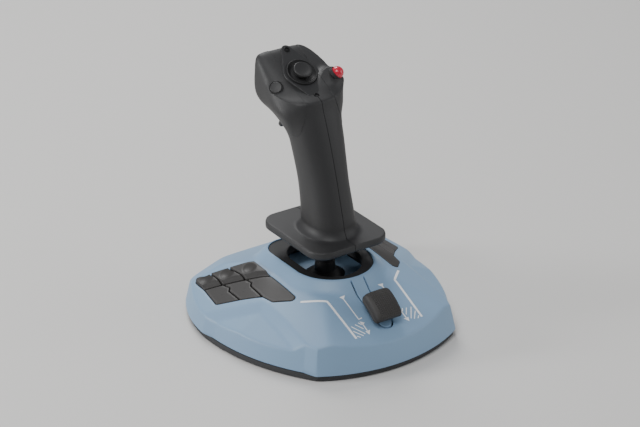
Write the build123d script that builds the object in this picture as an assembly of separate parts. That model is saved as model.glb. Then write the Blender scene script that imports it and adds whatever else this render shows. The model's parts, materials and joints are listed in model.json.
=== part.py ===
from build123d import *
import os
from math import cos, radians, sin

# Flight joystick. Millimetres, +Z up, +Y away from the user, +X to the user's right.
# The origin is on the desk, at the middle of the base's plan.

# Base plan and walls
BASE_HALF_WIDTH = 111.0
BASE_HALF_DEPTH = 105.5
FRONT_CORNER = (71.5, -85.8)
FRONT_SIDE = (101.0, -32.0)
REAR_CORNER = (93.0, 87.0)
REAR_BEND = (76.0, 99.0)
WIDEST_Y = 28.0
WALL = 2.5
WALL_DRAFT = 13.0
FOOT_STAND = 1.0
TRAY_FLOOR = 2.5
TRAY_INSET = 2.5
SHELL_BOTTOM = 6.0
FLOOR_TOP = FOOT_STAND + TRAY_FLOOR

# Deck: the height of each facet at a point on it, and its slopes along X and Y
DECK_TOP = 49.5
FRONT_FACET = (0.0, -45.4, 48.9)
FRONT_SLOPE = 0.40
REAR_FACET = (0.0, 50.0, 49.0)
REAR_SLOPE = -0.356
SIDE_FACET = (68.4, 0.0, 41.3)
SIDE_SLOPE = -0.5
HIP_FACET = (68.4, 0.7, 41.3)
HIP_SLOPES = (-0.402, 0.11)
CORNER_FACET = (91.3, 76.0, 30.0)
CORNER_SLOPES = (-0.325, -0.565)
PANEL_PLAN = [(75.5, -7.0), (107.0, 21.5), (116.0, 24.0), (116.0, -74.0), (76.0, -74.0)]
PANEL_DROP = 3.2
PANEL_INSET = 1.8

# Stick axis and gimbal
STICK_Y = 7.5
PIVOT_Z = 25.0
SHAFT_R = 7.5
SHAFT_TOP = 118.0
DOME_R = 23.0
DOME_WALL = 1.5
DOME_EDGE = 11.4
DOME_NECK = (20.9, 9.4, 8.0)
TRUNNION_R = 3.5
ROLL_PIN_R = 3.0
RUNNING = 0.05
YOKE_HALF_X = 20.0
YOKE_HALF_Y = 22.0
YOKE_RAIL = 6.0
YOKE_HEIGHT = 8.0
POST_IN = 28.5
POST_OUT = 35.5
HOUSING_R = 40.0

# Collar and bezel round the stick
BEZEL_HALF = 35.5
BEZEL_FRONT = -38.5
BEZEL_REAR = 54.5
BEZEL_CORNER = 18.0
COLLAR_TOP = 58.0
COLLAR_LIP = 1.6
COLLAR_FLARE = 10.5
LEDGE_Z = 55.0
MOUTH_HALF = 27.0
MOUTH_FRONT = -28.0
MOUTH_REAR = 43.0
COVER_TOP = 41.0

# Button banks, plan outlines in |X| and Y
REAR_1 = [(91.3, 76.1), (79.6, 67.0), (79.5, 46.0), (91.9, 57.0)]
REAR_2 = [(79.6, 67.0), (66.9, 57.2), (65.0, 31.4), (79.5, 46.0)]
REAR_3 = [(66.9, 57.2), (49.1, 42.7), (50.0, 14.7), (65.0, 31.4)]
FRONT_1 = [(91.9, 57.0), (79.5, 46.0), (77.7, 37.3), (80.5, 34.2), (80.8, 16.0), (95.5, 31.5)]
FRONT_2 = [(79.5, 46.0), (65.0, 31.4), (64.2, 23.8), (66.8, 21.1), (68.0, 0.7), (80.8, 16.0),
           (80.5, 34.2), (77.7, 37.3)]
FRONT_3 = [(65.0, 31.4), (50.0, 14.7), (50.0, -29.0), (52.6, -27.5), (66.6, -13.2), (68.0, 0.7),
           (66.8, 21.1), (64.2, 23.8)]
BANK = [(91.3, 76.1), (79.6, 67.0), (66.9, 57.2), (49.1, 42.7), (50.0, 14.7), (50.0, -29.0),
        (52.6, -27.5), (66.6, -13.2), (68.0, 0.7), (80.8, 16.0), (95.5, 31.5), (91.9, 57.0)]
CAP_GAP = 0.35
CAP_THICK = 4.0
REAR_PROUD = 2.0
FRONT_PROUD = 0.3
CAP_TRAVEL = 1.2
STEM_R = 2.0
BOARD_Z = 16.0
BOARD_THICK = 1.6
SWITCH_TOP = 21.0

# Throttle
LEVER_Y = -53.8
LEVER_Z = 12.7
PAD_FROM = 16.0
PAD_TO = 53.0
PAD_R = 49.5
PAD_INNER_R = 38.6
PAD_HALF = 13.0
ARM_X = 6.5
ARM_HALF = 0.35
GROOVE_HALF = 0.65
GROOVE_END = -87.5
AXLE_R = 2.0

# Grip: height, middle Y, half width and half depth of each section
GRIP_SECTIONS = [
    (86.5, 2.6, 29.0, 33.0), (91.0, 3.0, 24.0, 27.0), (97.0, 3.8, 21.0, 24.0),
    (108.0, 5.4, 20.2, 22.9), (128.0, 9.8, 19.7, 22.2), (148.0, 15.3, 20.9, 21.6),
    (166.0, 21.0, 22.6, 21.0), (180.0, 27.0, 22.6, 21.6)]
GRIP_WALL = 2.5
SOLID_TO = 106.0
PLATE_HALF_X = 38.5
PLATE_FRONT = -38.0
PLATE_REAR = 52.5
PLATE_CORNER = 16.0
PLATE_LOW = 80.0
PLATE_TOP = 86.6
SEAM = 0.1

# Head
CORE_PROFILE = [(6.5, 181.0), (13.0, 191.5), (17.5, 199.3), (70.5, 230.0), (75.0, 227.0),
                (73.0, 205.0), (65.0, 190.0), (50.0, 184.0), (40.0, 178.0)]
CORE_HALF = 17.0
LEFT_PROFILE = [(15.0, 192.5), (21.0, 201.3), (56.0, 221.0), (66.0, 227.0), (73.5, 222.0),
                (70.5, 203.0), (62.0, 189.5), (46.0, 185.5), (34.0, 179.0), (24.0, 184.0)]
RIGHT_PROFILE = [(15.0, 192.5), (22.0, 203.0), (26.0, 210.0), (43.0, 216.0), (66.0, 217.0),
                 (73.0, 212.0), (70.5, 203.0), (62.0, 189.5), (46.0, 185.5), (34.0, 179.0), (24.0, 184.0)]
MODULE_OUT = 30.0
HAT_Y = 43.2
HAT_Z = 214.1
HAT_TILT = 30.2
HAT_HALF_LENGTH = 26.0
HAT_TIP_R = 5.0
HAT_MID_R = 16.3
HAT_RECESS_R = 13.6
HAT_CAP_R = 8.1
HAT_PIVOT = -6.0
THUMB_AT = (-26.0, 42.0, 207.8)
THUMB_OUT = (-0.55, -0.50, 0.67)
THUMB_R = 5.2
RED_AT = (27.5, 30.0, 213.0)
RED_OUT = (0.55, -0.45, 0.70)
RED_R = 5.5
TRIGGER_Y = 55.0
TRIGGER_Z = 184.0
TRIGGER_HALF = 5.5
TRIGGER_PIN_R = 1.5
TRIGGER_BLADE = [(50.0, 188.0), (60.0, 188.0), (65.5, 176.0), (74.0, 157.0), (69.0, 155.5), (61.0, 168.0),
                 (52.0, 178.0)]
TRIGGER_SLOT = [(46.0, 191.0), (63.5, 191.5), (66.5, 176.0), (46.0, 172.0)]
MODULE_WALL = 2.2
BUTTON_TRAVEL = 1.2
HAT_PLATE_THICK = 1.4
HAT_BORE_R = 6.6
HAT_PIN_R = 0.8
BUSH_LOW = 90.0
BUSH_R = 10.5
GRIP_BOSSES = [(10.5, 131.0), (19.0, 160.0)]
AXLE_HALF = 13.0
MAIN_BOARD_SCREWS = [(-28.0, 60.0), (28.0, 60.0), (-28.0, 86.0), (28.0, 86.0)]
INLET_Z = 11.5
INLET_R = 2.1


def save(name, *shapes):
    """Write one named piece, which may hold several separate solids."""
    solids = [solid for shape in shapes for solid in shape.solids()]
    whole = solids[0] if len(solids) == 1 else Compound(children=solids)
    export_step(whole, f"parts/{name}.step")


def flip(shape):
    """The same shape on the other side of the stick's plane."""
    return mirror(shape, about=Plane.YZ)


def polygon(points):
    """A flat face at z = 0 from its corners."""
    return make_face(Polyline(*points, close=True))


def block(x0, x1, y0, y1, z0, z1):
    """A box from its lowest and highest corners."""
    box = Box(x1 - x0, y1 - y0, z1 - z0, align=(Align.MIN, Align.MIN, Align.MIN))
    return Pos(x0, y0, z0) * box


def post(x, y, z0, z1, radius):
    """An upright cylinder."""
    return Pos(x, y, z0) * Cylinder(radius, z1 - z0, align=(Align.CENTER, Align.CENTER, Align.MIN))


def bar(plane, start, end, radius):
    """A cylinder along a plane's normal, from start to end."""
    return plane.offset(start) * Cylinder(radius, end - start, align=(Align.CENTER, Align.CENTER, Align.MIN))


def coil(plane, radius, pitch, height, wire_r):
    """A round-wire coil whose axis is a plane's normal."""
    path = Helix(pitch=pitch, height=height, radius=radius)
    section = Plane(origin=path @ 0, z_dir=path % 0) * Circle(wire_r)
    return plane * sweep(section, path=path, is_frenet=True)


def base_plan():
    """The base's plan outline: a bowed front, bowed sides, rounded rear corners and a bowed rear."""
    half = [
        ThreePointArc(FRONT_CORNER, FRONT_SIDE, (BASE_HALF_WIDTH, WIDEST_Y)),
        ThreePointArc((BASE_HALF_WIDTH, WIDEST_Y), (106.0, 58.0), REAR_CORNER),
        ThreePointArc(REAR_CORNER, (86.5, 94.6), REAR_BEND),
    ]
    left = [mirror(edge, about=Plane.YZ) for edge in half]
    front = ThreePointArc((-FRONT_CORNER[0], FRONT_CORNER[1]), (0, -BASE_HALF_DEPTH), FRONT_CORNER)
    rear = ThreePointArc(REAR_BEND, (0, BASE_HALF_DEPTH), (-REAR_BEND[0], REAR_BEND[1]))
    return make_face(Curve() + [front, rear] + half + left)


def walls(inset):
    """The plan carried up with drafted walls."""
    plan = offset(base_plan(), amount=-inset) if inset else base_plan()
    return Pos(0, 0, SHELL_BOTTOM - inset) * extrude(plan, amount=60, taper=WALL_DRAFT)


def above(point, slope_x, slope_y):
    """Everything above a sloping plane."""
    plane = Plane(origin=point, x_dir=(1, 0, slope_x), z_dir=(-slope_x, -slope_y, 1))
    return plane * Box(500, 500, 120, align=(Align.CENTER, Align.CENTER, Align.MIN))


def deck_cuts(drop):
    """The space above the deck's facets, each lowered by drop."""
    cuts = [above((0, 0, DECK_TOP - drop), 0, 0)]
    cuts.append(above((FRONT_FACET[0], FRONT_FACET[1], FRONT_FACET[2] - drop), 0, FRONT_SLOPE))
    cuts.append(above((REAR_FACET[0], REAR_FACET[1], REAR_FACET[2] - drop), 0, REAR_SLOPE))
    for side in (-1, 1):
        cuts.append(above((side * SIDE_FACET[0], SIDE_FACET[1], SIDE_FACET[2] - drop), side * SIDE_SLOPE, 0))
        hip = (side * HIP_FACET[0], HIP_FACET[1], HIP_FACET[2] - drop)
        cuts.append(above(hip, side * HIP_SLOPES[0], HIP_SLOPES[1]))
        corner = (side * CORNER_FACET[0], CORNER_FACET[1], CORNER_FACET[2] - drop)
        cuts.append(above(corner, side * CORNER_SLOPES[0], CORNER_SLOPES[1]))
    return cuts


def base_form(inset, drop):
    """The base's solid form with its two sunk side panels, shrunk by inset and drop."""
    form = walls(inset) - deck_cuts(drop)
    sunk = walls(inset + PANEL_INSET) - deck_cuts(drop + PANEL_DROP)
    plan = polygon(PANEL_PLAN)
    if inset:
        plan = offset(plan, amount=inset, kind=Kind.INTERSECTION)
    window = extrude(plan, amount=70)
    for side_window in (window, flip(window)):
        form = form - (side_window - sunk)
    return form


def stick_oval(grow, front=BEZEL_FRONT, rear=BEZEL_REAR, half=BEZEL_HALF, corner=BEZEL_CORNER):
    """A plan outline round the stick: half round in front, rounded corners behind."""
    round_front = Pos(0, front + half) * Circle(half + grow)
    depth = rear + grow - (front + half)
    box = Pos(0, front + half + depth / 2) * Rectangle(2 * (half + grow), depth)
    back = box.vertices().group_by(Axis.Y)[-1]
    return round_front + fillet(back, corner + grow)


def mouth(grow):
    """The opening that the stick moves in."""
    return stick_oval(grow, MOUTH_FRONT, MOUTH_REAR, MOUTH_HALF, MOUTH_HALF - 1.0)


def collar():
    """The raised blue collar round the bezel."""
    low = Pos(0, 0, 40) * stick_oval(COLLAR_FLARE)
    high = Pos(0, 0, COLLAR_TOP) * stick_oval(COLLAR_LIP)
    return loft([low.face(), high.face()], ruled=True)


def groove_pair():
    """The two narrow throttle grooves and the round end that joins them."""
    outer = ARM_X + GROOVE_HALF
    inner = ARM_X - GROOVE_HALF
    front = GROOVE_END + outer
    wide = Pos(0, (front - 36) / 2) * Rectangle(2 * outer, -36 - front) + Pos(0, front) * Circle(outer)
    rib = Pos(0, (front - 36) / 2) * Rectangle(2 * inner, -36 - front) + Pos(0, front) * Circle(inner)
    return Pos(0, 0, 20) * extrude(wide - rib, amount=45)


SHELL_POSTS = [(58.0, -78.0), (97.5, 6.0), (70.0, 86.0)]
FEET = [(60.0, -64.0), (84.0, -2.0), (66.0, 69.0)]


def base_top_shell():
    """Blue upper shell: drafted walls, faceted deck, collar, button windows and screw posts."""
    shell = base_form(0, 0) + collar()
    shell -= base_form(WALL, WALL)
    shell -= Pos(0, 0, 20) * extrude(stick_oval(-3.0), amount=45)
    shell -= Pos(0, 0, LEDGE_Z) * extrude(stick_oval(0.2), amount=10)
    window = Pos(0, 0, 15) * extrude(polygon(BANK), amount=45)
    shell -= [window, flip(window)]
    shell -= groove_pair()
    shell -= block(-7, 7, BASE_HALF_DEPTH - 20, BASE_HALF_DEPTH + 5, SHELL_BOTTOM - 1, SHELL_BOTTOM + 10.6)
    inner = base_form(WALL - 0.2, WALL - 0.2)
    for x, y in SHELL_POSTS:
        for side in (-1, 1):
            shell += post(side * x, y, SHELL_BOTTOM + 0.5, 45, 4.0) & inner
            shell -= post(side * x, y, SHELL_BOTTOM, 17, 1.25)
    return shell


def base_bottom_tray():
    """Dark bottom tray: floor, visible rim, inner lip, screw bosses and foot pockets."""
    plan = offset(base_plan(), amount=-TRAY_INSET)
    tray = Pos(0, 0, FOOT_STAND) * extrude(plan, amount=SHELL_BOTTOM - FOOT_STAND - 0.1)
    tray -= Pos(0, 0, FLOOR_TOP) * extrude(offset(base_plan(), amount=-TRAY_INSET - 3.0), amount=20)
    for x, y in SHELL_POSTS:
        for side in (-1, 1):
            tray += post(side * x, y, FOOT_STAND, SHELL_BOTTOM + 0.4, 5.0)
            tray -= post(side * x, y, 0, 3.2, 3.3)
            tray -= post(side * x, y, 0, 20, 1.7)
    for x, y in FEET:
        for side in (-1, 1):
            tray -= post(side * x, y, 0, FOOT_STAND + 1.0, 8.0)
    return tray


def switch_places():
    """The middle of each button's plan outline."""
    return [polygon(points).center() for points in (REAR_1, REAR_2, REAR_3, FRONT_1, FRONT_2, FRONT_3)]


def button_cap(points, proud, raised):
    """One bank button: a cap that follows the deck, and a stem down to its switch."""
    plan = offset(polygon(points), amount=-CAP_GAP, kind=Kind.INTERSECTION)
    middle = polygon(points).center()
    prism = Pos(0, 0, 20) * extrude(plan, amount=45)
    cap = (prism & walls(0)) - deck_cuts(-proud)
    under = (Pos(0, 0, 15) * extrude(polygon([(40, -40), (110, -40), (110, 90), (40, 90)]), amount=60)) & walls(0)
    under -= deck_cuts(CAP_THICK - proud)
    cap -= under
    top = middle.Z + SWITCH_TOP + CAP_TRAVEL + 0.3
    stem = Pos(middle.X, middle.Y, top) * Cylinder(STEM_R, 40, align=(Align.CENTER, Align.CENTER, Align.MIN))
    cap += stem & (walls(0) - deck_cuts(CAP_THICK - proud - 0.5))
    if raised:
        dimple_r = 16.0
        surface = 41.3 - 0.5 * (middle.X - SIDE_FACET[0]) + proud
        cap -= Pos(middle.X + 0.45 * (dimple_r - 1.2), middle.Y, surface + 0.9 * (dimple_r - 1.2)) * Sphere(dimple_r)
    return cap


def switch_board(places):
    """A bank's circuit board, with a spacer under each end."""
    plan = offset(polygon(BANK), amount=-3.0, kind=Kind.INTERSECTION)
    return Pos(0, 0, BOARD_Z) * extrude(plan, amount=BOARD_THICK)


def bank_switches(places):
    """The six push switches of a bank."""
    switches = []
    for place in places:
        foot = BOARD_Z + BOARD_THICK
        body = Pos(place.X, place.Y, foot) * Box(6, 6, 2.6, align=(Align.CENTER, Align.CENTER, Align.MIN))
        switches.append(body + post(place.X, place.Y, foot, SWITCH_TOP, 1.6))
    return switches


def board_stands():
    """Pillars that hold each switch board above the tray."""
    return [post(x, y, FLOOR_TOP, BOARD_Z, 3.0) for x, y in ((60.0, -10.0), (56.0, 38.0), (84.0, 60.0), (84.0, 28.0))]


def bezel():
    """Black insert that fills the collar, with a skirt down round the mouth."""
    plate = Pos(0, 0, LEDGE_Z) * extrude(stick_oval(0) - mouth(0), amount=COLLAR_TOP - LEDGE_Z - 0.6)
    skirt = Pos(0, 0, LEDGE_Z - 6.0) * extrude(mouth(1.8) - mouth(0), amount=6.5)
    return plate + skirt


def gimbal_cover():
    """Blue dished ring under the mouth, with a round edge that clears the dust dome."""
    plate = Pos(0, 0, COVER_TOP - 2.5) * extrude(stick_oval(-1.0), amount=2.5)
    plate -= Pos(0, STICK_Y, PIVOT_Z) * Sphere(DOME_R + 0.5)
    for x, y in ((-31.0, -4.0), (31.0, -4.0), (-28.0, 45.0), (28.0, 45.0)):
        plate += post(x, y, COVER_TOP - 2.5, DECK_TOP - WALL, 2.2)
    return plate


def gimbal_housing():
    """Cast ring and two posts that carry the pitch trunnions."""
    ring = post(0, STICK_Y, FLOOR_TOP, FLOOR_TOP + 3.0, HOUSING_R) - post(0, STICK_Y, 0, 20, 18.0)
    for side in (-1, 1):
        x0, x1 = sorted((side * POST_IN, side * POST_OUT))
        ring += block(x0, x1, STICK_Y - 9, STICK_Y + 9, FLOOR_TOP + 2.0, PIVOT_Z)
        ring += Pos(0, STICK_Y, PIVOT_Z) * bar(Plane.YZ, x0, x1, 9.0)
        ring -= Pos(0, STICK_Y, PIVOT_Z) * bar(Plane.YZ, x0 - 1, x1 + 1, TRUNNION_R + 1.5)
    for x, y in HOUSING_SCREWS:
        ring -= post(x, y + STICK_Y, 0, 20, 1.7)
    return ring


HOUSING_SCREWS = [(23.0, 24.0), (-23.0, 24.0), (23.0, -24.0), (-23.0, -24.0)]


def pivot_bushes():
    """Plain bearings pressed into the posts."""
    bushes = []
    for side in (-1, 1):
        x0, x1 = sorted((side * POST_IN, side * POST_OUT))
        outer = bar(Plane.YZ, x0, x1, TRUNNION_R + 1.5)
        bushes.append(Pos(0, STICK_Y, PIVOT_Z) * (outer - bar(Plane.YZ, x0 - 1, x1 + 1, TRUNNION_R + RUNNING)))
    return bushes


def pitch_yoke():
    """Frame with two trunnions along X, which tips for pitch."""
    frame = Box(2 * YOKE_HALF_X, 2 * YOKE_HALF_Y, YOKE_HEIGHT)
    frame -= Box(2 * (YOKE_HALF_X - YOKE_RAIL), 2 * (YOKE_HALF_Y - YOKE_RAIL), YOKE_HEIGHT + 2)
    frame = fillet(frame.edges().filter_by(Axis.Z).group_by(SortBy.LENGTH)[-1], 2.0)
    for side in (-1, 1):
        x0, x1 = sorted((side * (YOKE_HALF_X - 1), side * (POST_OUT + 0.5)))
        frame += bar(Plane.YZ, x0, x1, TRUNNION_R)
    frame -= bar(Plane.XZ, -40, 40, ROLL_PIN_R)
    return Pos(0, STICK_Y, PIVOT_Z) * frame


def roll_pin():
    """Steel pin along Y, fixed in the yoke."""
    return Pos(0, STICK_Y, PIVOT_Z) * bar(Plane.XZ, -YOKE_HALF_Y, YOKE_HALF_Y + 9.0, ROLL_PIN_R)


def stick_shaft():
    """Shaft tube with its pivot block, and the stub that carries the magnet."""
    half_y = YOKE_HALF_Y - YOKE_RAIL - 0.4
    shaft = Pos(0, STICK_Y, PIVOT_Z) * Box(18, 2 * half_y, 14)
    shaft += post(0, STICK_Y, PIVOT_Z, SHAFT_TOP, SHAFT_R)
    shaft += post(0, STICK_Y, PIVOT_Z - 11, PIVOT_Z, 5.0)
    shaft -= Pos(0, STICK_Y, PIVOT_Z) * bar(Plane.XZ, -40, 40, ROLL_PIN_R + RUNNING)
    shaft -= post(0, STICK_Y, PIVOT_Z + 9, SHAFT_TOP + 1, 4.0)
    return shaft


def dust_dome():
    """Thin dome centred on the pivot, with a short cone up the shaft."""
    centre = Pos(0, STICK_Y, PIVOT_Z)
    dome = centre * (Sphere(DOME_R) - Sphere(DOME_R - DOME_WALL))
    dome -= block(-60, 60, -60, 60, -20, PIVOT_Z + DOME_EDGE)
    lift, foot_r, length = DOME_NECK
    neck = Cone(foot_r, SHAFT_R + 1.0, length, align=(Align.CENTER, Align.CENTER, Align.MIN))
    dome += Pos(0, STICK_Y, PIVOT_Z + lift) * neck
    return dome - post(0, STICK_Y, PIVOT_Z, SHAFT_TOP, SHAFT_R)


def palm_plate():
    """Palm rest: a rounded plate, hollow below except for its hub."""
    plan = Pos(0, (PLATE_FRONT + PLATE_REAR) / 2) * RectangleRounded(
        2 * PLATE_HALF_X, PLATE_REAR - PLATE_FRONT, PLATE_CORNER)
    plate = Pos(0, 0, PLATE_LOW) * extrude(plan, amount=PLATE_TOP - PLATE_LOW)
    plate = fillet(plate.edges().group_by(Axis.Z)[-1], 2.0)
    hollow = Pos(0, 0, PLATE_LOW) * extrude(offset(plan, amount=-3.0), amount=3.2)
    return plate - (hollow - post(0, STICK_Y, PLATE_LOW, PLATE_TOP, 15.0))


def grip_column(shrink):
    """The hand grip: elliptical sections that lean away from the user as they rise."""
    rings = []
    for z, y, half_x, half_y in GRIP_SECTIONS:
        rings.append(Pos(0, y, z) * Ellipse(half_x - shrink, half_y - shrink))
    return loft([ring.face() for ring in rings])


def slab(profile, x0, x1):
    """A side profile in Y and Z, carried along X."""
    face = Plane.YZ * polygon(profile)
    return Pos(x0, 0, 0) * extrude(face, amount=x1 - x0, dir=(1, 0, 0))


def head_core(shrink):
    """The middle of the head, which the grip halves run up into."""
    core = slab(CORE_PROFILE, -CORE_HALF + shrink, CORE_HALF - shrink)
    if shrink:
        face = offset(polygon(CORE_PROFILE), amount=-shrink, kind=Kind.INTERSECTION)
        core = Pos(-CORE_HALF + shrink, 0, 0) * extrude(Plane.YZ * face, amount=2 * (CORE_HALF - shrink), dir=(1, 0, 0))
    return core


def hat_plane():
    """The sloping face that the hat switch stands on: X across, Y up the slope."""
    return Plane(origin=(0, HAT_Y, HAT_Z), x_dir=(1, 0, 0),
                 z_dir=(0, -sin(radians(HAT_TILT)), cos(radians(HAT_TILT))))


def hat_leaf(grow):
    """Pointed oval outline of the hat plate."""
    tips = [Pos(0, side * HAT_HALF_LENGTH) * Circle(HAT_TIP_R + grow) for side in (-1, 1)]
    return make_hull((tips[0] + tips[1] + Circle(HAT_MID_R + grow)).edges())


def module_space(profile, side, inset):
    """The room that a cheek of the head takes, outside the core."""
    inner = side * (CORE_HALF + 0.1) if not inset else side * (CORE_HALF - 1.0)
    outer = side * (MODULE_OUT - inset)
    if inset:
        profile_face = offset(polygon(profile), amount=-inset, kind=Kind.INTERSECTION)
    else:
        profile_face = polygon(profile)
    x0, x1 = sorted((inner, outer))
    return Pos(x0, 0, 0) * extrude(Plane.YZ * profile_face, amount=x1 - x0, dir=(1, 0, 0))


def beyond(at, out, lift=0.0):
    """Everything on the outer side of a button's face."""
    plane = Plane(origin=at, z_dir=out).offset(lift)
    return plane * Box(80, 80, 40, align=(Align.CENTER, Align.CENTER, Align.MIN))


def head_module(profile, side, at, out, hole_r):
    """A hollow cheek of the head, with a flat face and a hole for its button."""
    solid = module_space(profile, side, 0)
    edge = solid.faces().sort_by(Axis.X)[-1 if side > 0 else 0].edges()
    solid = fillet(edge, 4.0) - beyond(at, out)
    hollow = module_space(profile, side, MODULE_WALL) - beyond(at, out, -MODULE_WALL)
    return solid - hollow - grip_column(-0.1) - bar(Plane(origin=at, z_dir=out), -9, 9, hole_r)


def round_button(at, out, radius, crown, depth):
    """A round push button: a crowned head and a plain stem behind it."""
    plane = Plane(origin=at, z_dir=out)
    head = bar(plane, -depth, crown, radius)
    head = fillet(head.edges().group_by(Axis(at, out))[-1], 1.2)
    return head + bar(plane, -depth - 3.0, -depth + 0.5, 1.8)


def button_switch(at, out, depth):
    """The push switch behind a round button."""
    plane = Plane(origin=at, z_dir=out).offset(-depth - 3.0 - BUTTON_TRAVEL - 0.4)
    return plane * Box(4.6, 4.6, 2.4, align=(Align.CENTER, Align.CENTER, Align.MAX))


def hat_plate():
    """Thin cover plate on the head's sloping face, with the hat's hole and two screw holes."""
    plate = extrude(hat_leaf(0), amount=HAT_PLATE_THICK)
    plate -= Cylinder(HAT_RECESS_R, 10)
    for side in (-1, 1):
        plate -= Pos(0, side * HAT_HALF_LENGTH) * Cylinder(1.3, 10)
    return hat_plane() * plate


def hat_screws():
    """The two countersunk screws of the hat plate."""
    screws = []
    for side in (-1, 1):
        screw = Pos(0, side * HAT_HALF_LENGTH, HAT_PLATE_THICK) * Cone(
            1.2, 2.4, 1.0, align=(Align.CENTER, Align.CENTER, Align.MIN))
        shank = Pos(0, side * HAT_HALF_LENGTH, -5.0) * Cylinder(
            1.2, HAT_PLATE_THICK + 5.0, align=(Align.CENTER, Align.CENTER, Align.MIN))
        socket = Pos(0, side * HAT_HALF_LENGTH, HAT_PLATE_THICK + 1.0) * Cylinder(1.1, 1.4)
        screws.append(hat_plane() * (screw + shank - socket))
    return screws


def hat_housing():
    """Dished ring round the hat, with a tube below that carries the cradle's pins."""
    dish = Pos(0, 0, -1.6) * Cylinder(HAT_RECESS_R - 0.05, 3.2, align=(Align.CENTER, Align.CENTER, Align.MIN))
    dish -= Pos(0, 0, 20.6) * Sphere(22.0)
    tube = Pos(0, 0, -10.0) * Cylinder(9.0, 9.0, align=(Align.CENTER, Align.CENTER, Align.MIN))
    housing = dish + tube - Pos(0, 0, -11) * Cylinder(HAT_BORE_R, 30, align=(Align.CENTER, Align.CENTER, Align.MIN))
    housing -= Pos(0, 0, HAT_PIVOT) * bar(Plane.YZ, -8.2, 8.2, HAT_PIN_R + RUNNING)
    return hat_plane() * housing


def hat_cradle():
    """Ring with two pins across, which lets the hat rock up and down the slope."""
    ring = Cylinder(HAT_BORE_R - 0.5, 2.6) - Cylinder(3.6, 4)
    for side in (-1, 1):
        x0, x1 = sorted((side * (HAT_BORE_R - 1.0), side * 8.0))
        ring += bar(Plane.YZ, x0, x1, HAT_PIN_R)
    ring -= bar(Plane.XZ, -8, 8, HAT_PIN_R + RUNNING)
    return hat_plane() * Pos(0, 0, HAT_PIVOT) * ring


def hat_cap():
    """The hat's thumb cap on its stem, with the two pins that rock it sideways."""
    cap = Pos(0, 0, 2.4) * Cylinder(HAT_CAP_R, 3.4, align=(Align.CENTER, Align.CENTER, Align.MIN))
    cap = fillet(cap.edges().group_by(Axis.Z)[-1], 1.2)
    cap -= Pos(0, 0, 5.8 + 18.0 - 0.7) * Sphere(18.0)
    cap += Pos(0, 0, HAT_PIVOT - 2.6) * Cylinder(3.0, 8.0 + 3.0, align=(Align.CENTER, Align.CENTER, Align.MIN))
    cap += Pos(0, 0, HAT_PIVOT) * bar(Plane.XZ, -5.4, 5.4, HAT_PIN_R)
    return hat_plane() * cap


def trigger():
    """Curved finger lever that hangs in front of the grip."""
    lever = slab(TRIGGER_BLADE, -TRIGGER_HALF, TRIGGER_HALF)
    lever = fillet(lever.edges().filter_by(Axis.X), 1.2)
    return lever - Pos(0, TRIGGER_Y, TRIGGER_Z) * bar(Plane.YZ, -20, 20, TRIGGER_PIN_R + RUNNING)


def trigger_pin():
    """Steel pin that the trigger turns on, held in the head's two sides."""
    return Pos(0, TRIGGER_Y, TRIGGER_Z) * bar(Plane.YZ, -CORE_HALF + 1.0, CORE_HALF - 1.0, TRIGGER_PIN_R)


def grip_whole():
    """Grip, head core and palm plate as one hollow form, before it is split down the middle."""
    whole = palm_plate() + grip_column(0) + head_core(0)
    hollow = grip_column(GRIP_WALL) - block(-60, 60, -60, 90, 60, SOLID_TO)
    whole -= hollow
    whole -= head_core(GRIP_WALL)
    whole -= post(0, STICK_Y, PLATE_LOW - 1, BUSH_LOW, SHAFT_R + 0.6)
    whole -= post(0, STICK_Y, BUSH_LOW, SOLID_TO + 1, BUSH_R)
    whole -= slab(TRIGGER_SLOT, -TRIGGER_HALF - 0.6, TRIGGER_HALF + 0.6)
    whole -= hat_plane() * extrude(hat_leaf(0.1), amount=6)
    whole -= hat_plane() * Pos(0, 0, -12) * Cylinder(HAT_RECESS_R, 20, align=(Align.CENTER, Align.CENTER, Align.MIN))
    for side in (-1, 1):
        boss = Pos(0, side * HAT_HALF_LENGTH, -6.0) * Cylinder(3.2, 6.0, align=(Align.CENTER, Align.CENTER, Align.MIN))
        whole += hat_plane() * boss & head_core(0.5)
        whole -= hat_plane() * Pos(0, side * HAT_HALF_LENGTH, -5.2) * Cylinder(1.25, 12)
    whole -= Pos(0, TRIGGER_Y, TRIGGER_Z) * bar(Plane.YZ, -CORE_HALF + 0.9, CORE_HALF - 0.9, TRIGGER_PIN_R)
    for y, z in GRIP_BOSSES:
        boss = Pos(0, y, z) * bar(Plane.YZ, -18, 18, 3.6)
        whole += boss & grip_column(1.0)
        whole -= Pos(0, y, z) * bar(Plane.YZ, -60, 12.0, 1.3)
        whole -= Pos(0, y, z) * bar(Plane.YZ, -60, -12.0, 2.9)
    return whole


def grip_screws():
    """Screws that join the grip halves from the left."""
    screws = []
    for y, z in GRIP_BOSSES:
        at = Pos(0, y, z)
        screws.append(at * (bar(Plane.YZ, -14.0, -12.0, 2.6) + bar(Plane.YZ, -12.0, 10.0, 1.25)
                            - bar(Plane.YZ, -14.5, -12.8, 1.2)))
    return screws


def twist_bush():
    """Bearing sleeve that the grip turns on."""
    return post(0, STICK_Y, BUSH_LOW, SOLID_TO, BUSH_R) - post(0, STICK_Y, 60, 130, SHAFT_R + RUNNING)


def twist_cap():
    """Disc on the shaft's end that keeps the grip on and carries the twist magnet."""
    return post(0, STICK_Y, SHAFT_TOP, SHAFT_TOP + 3.0, SHAFT_R + 2.5) - post(0, STICK_Y, SHAFT_TOP - 1, SHAFT_TOP + 5, 3.0)


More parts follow.
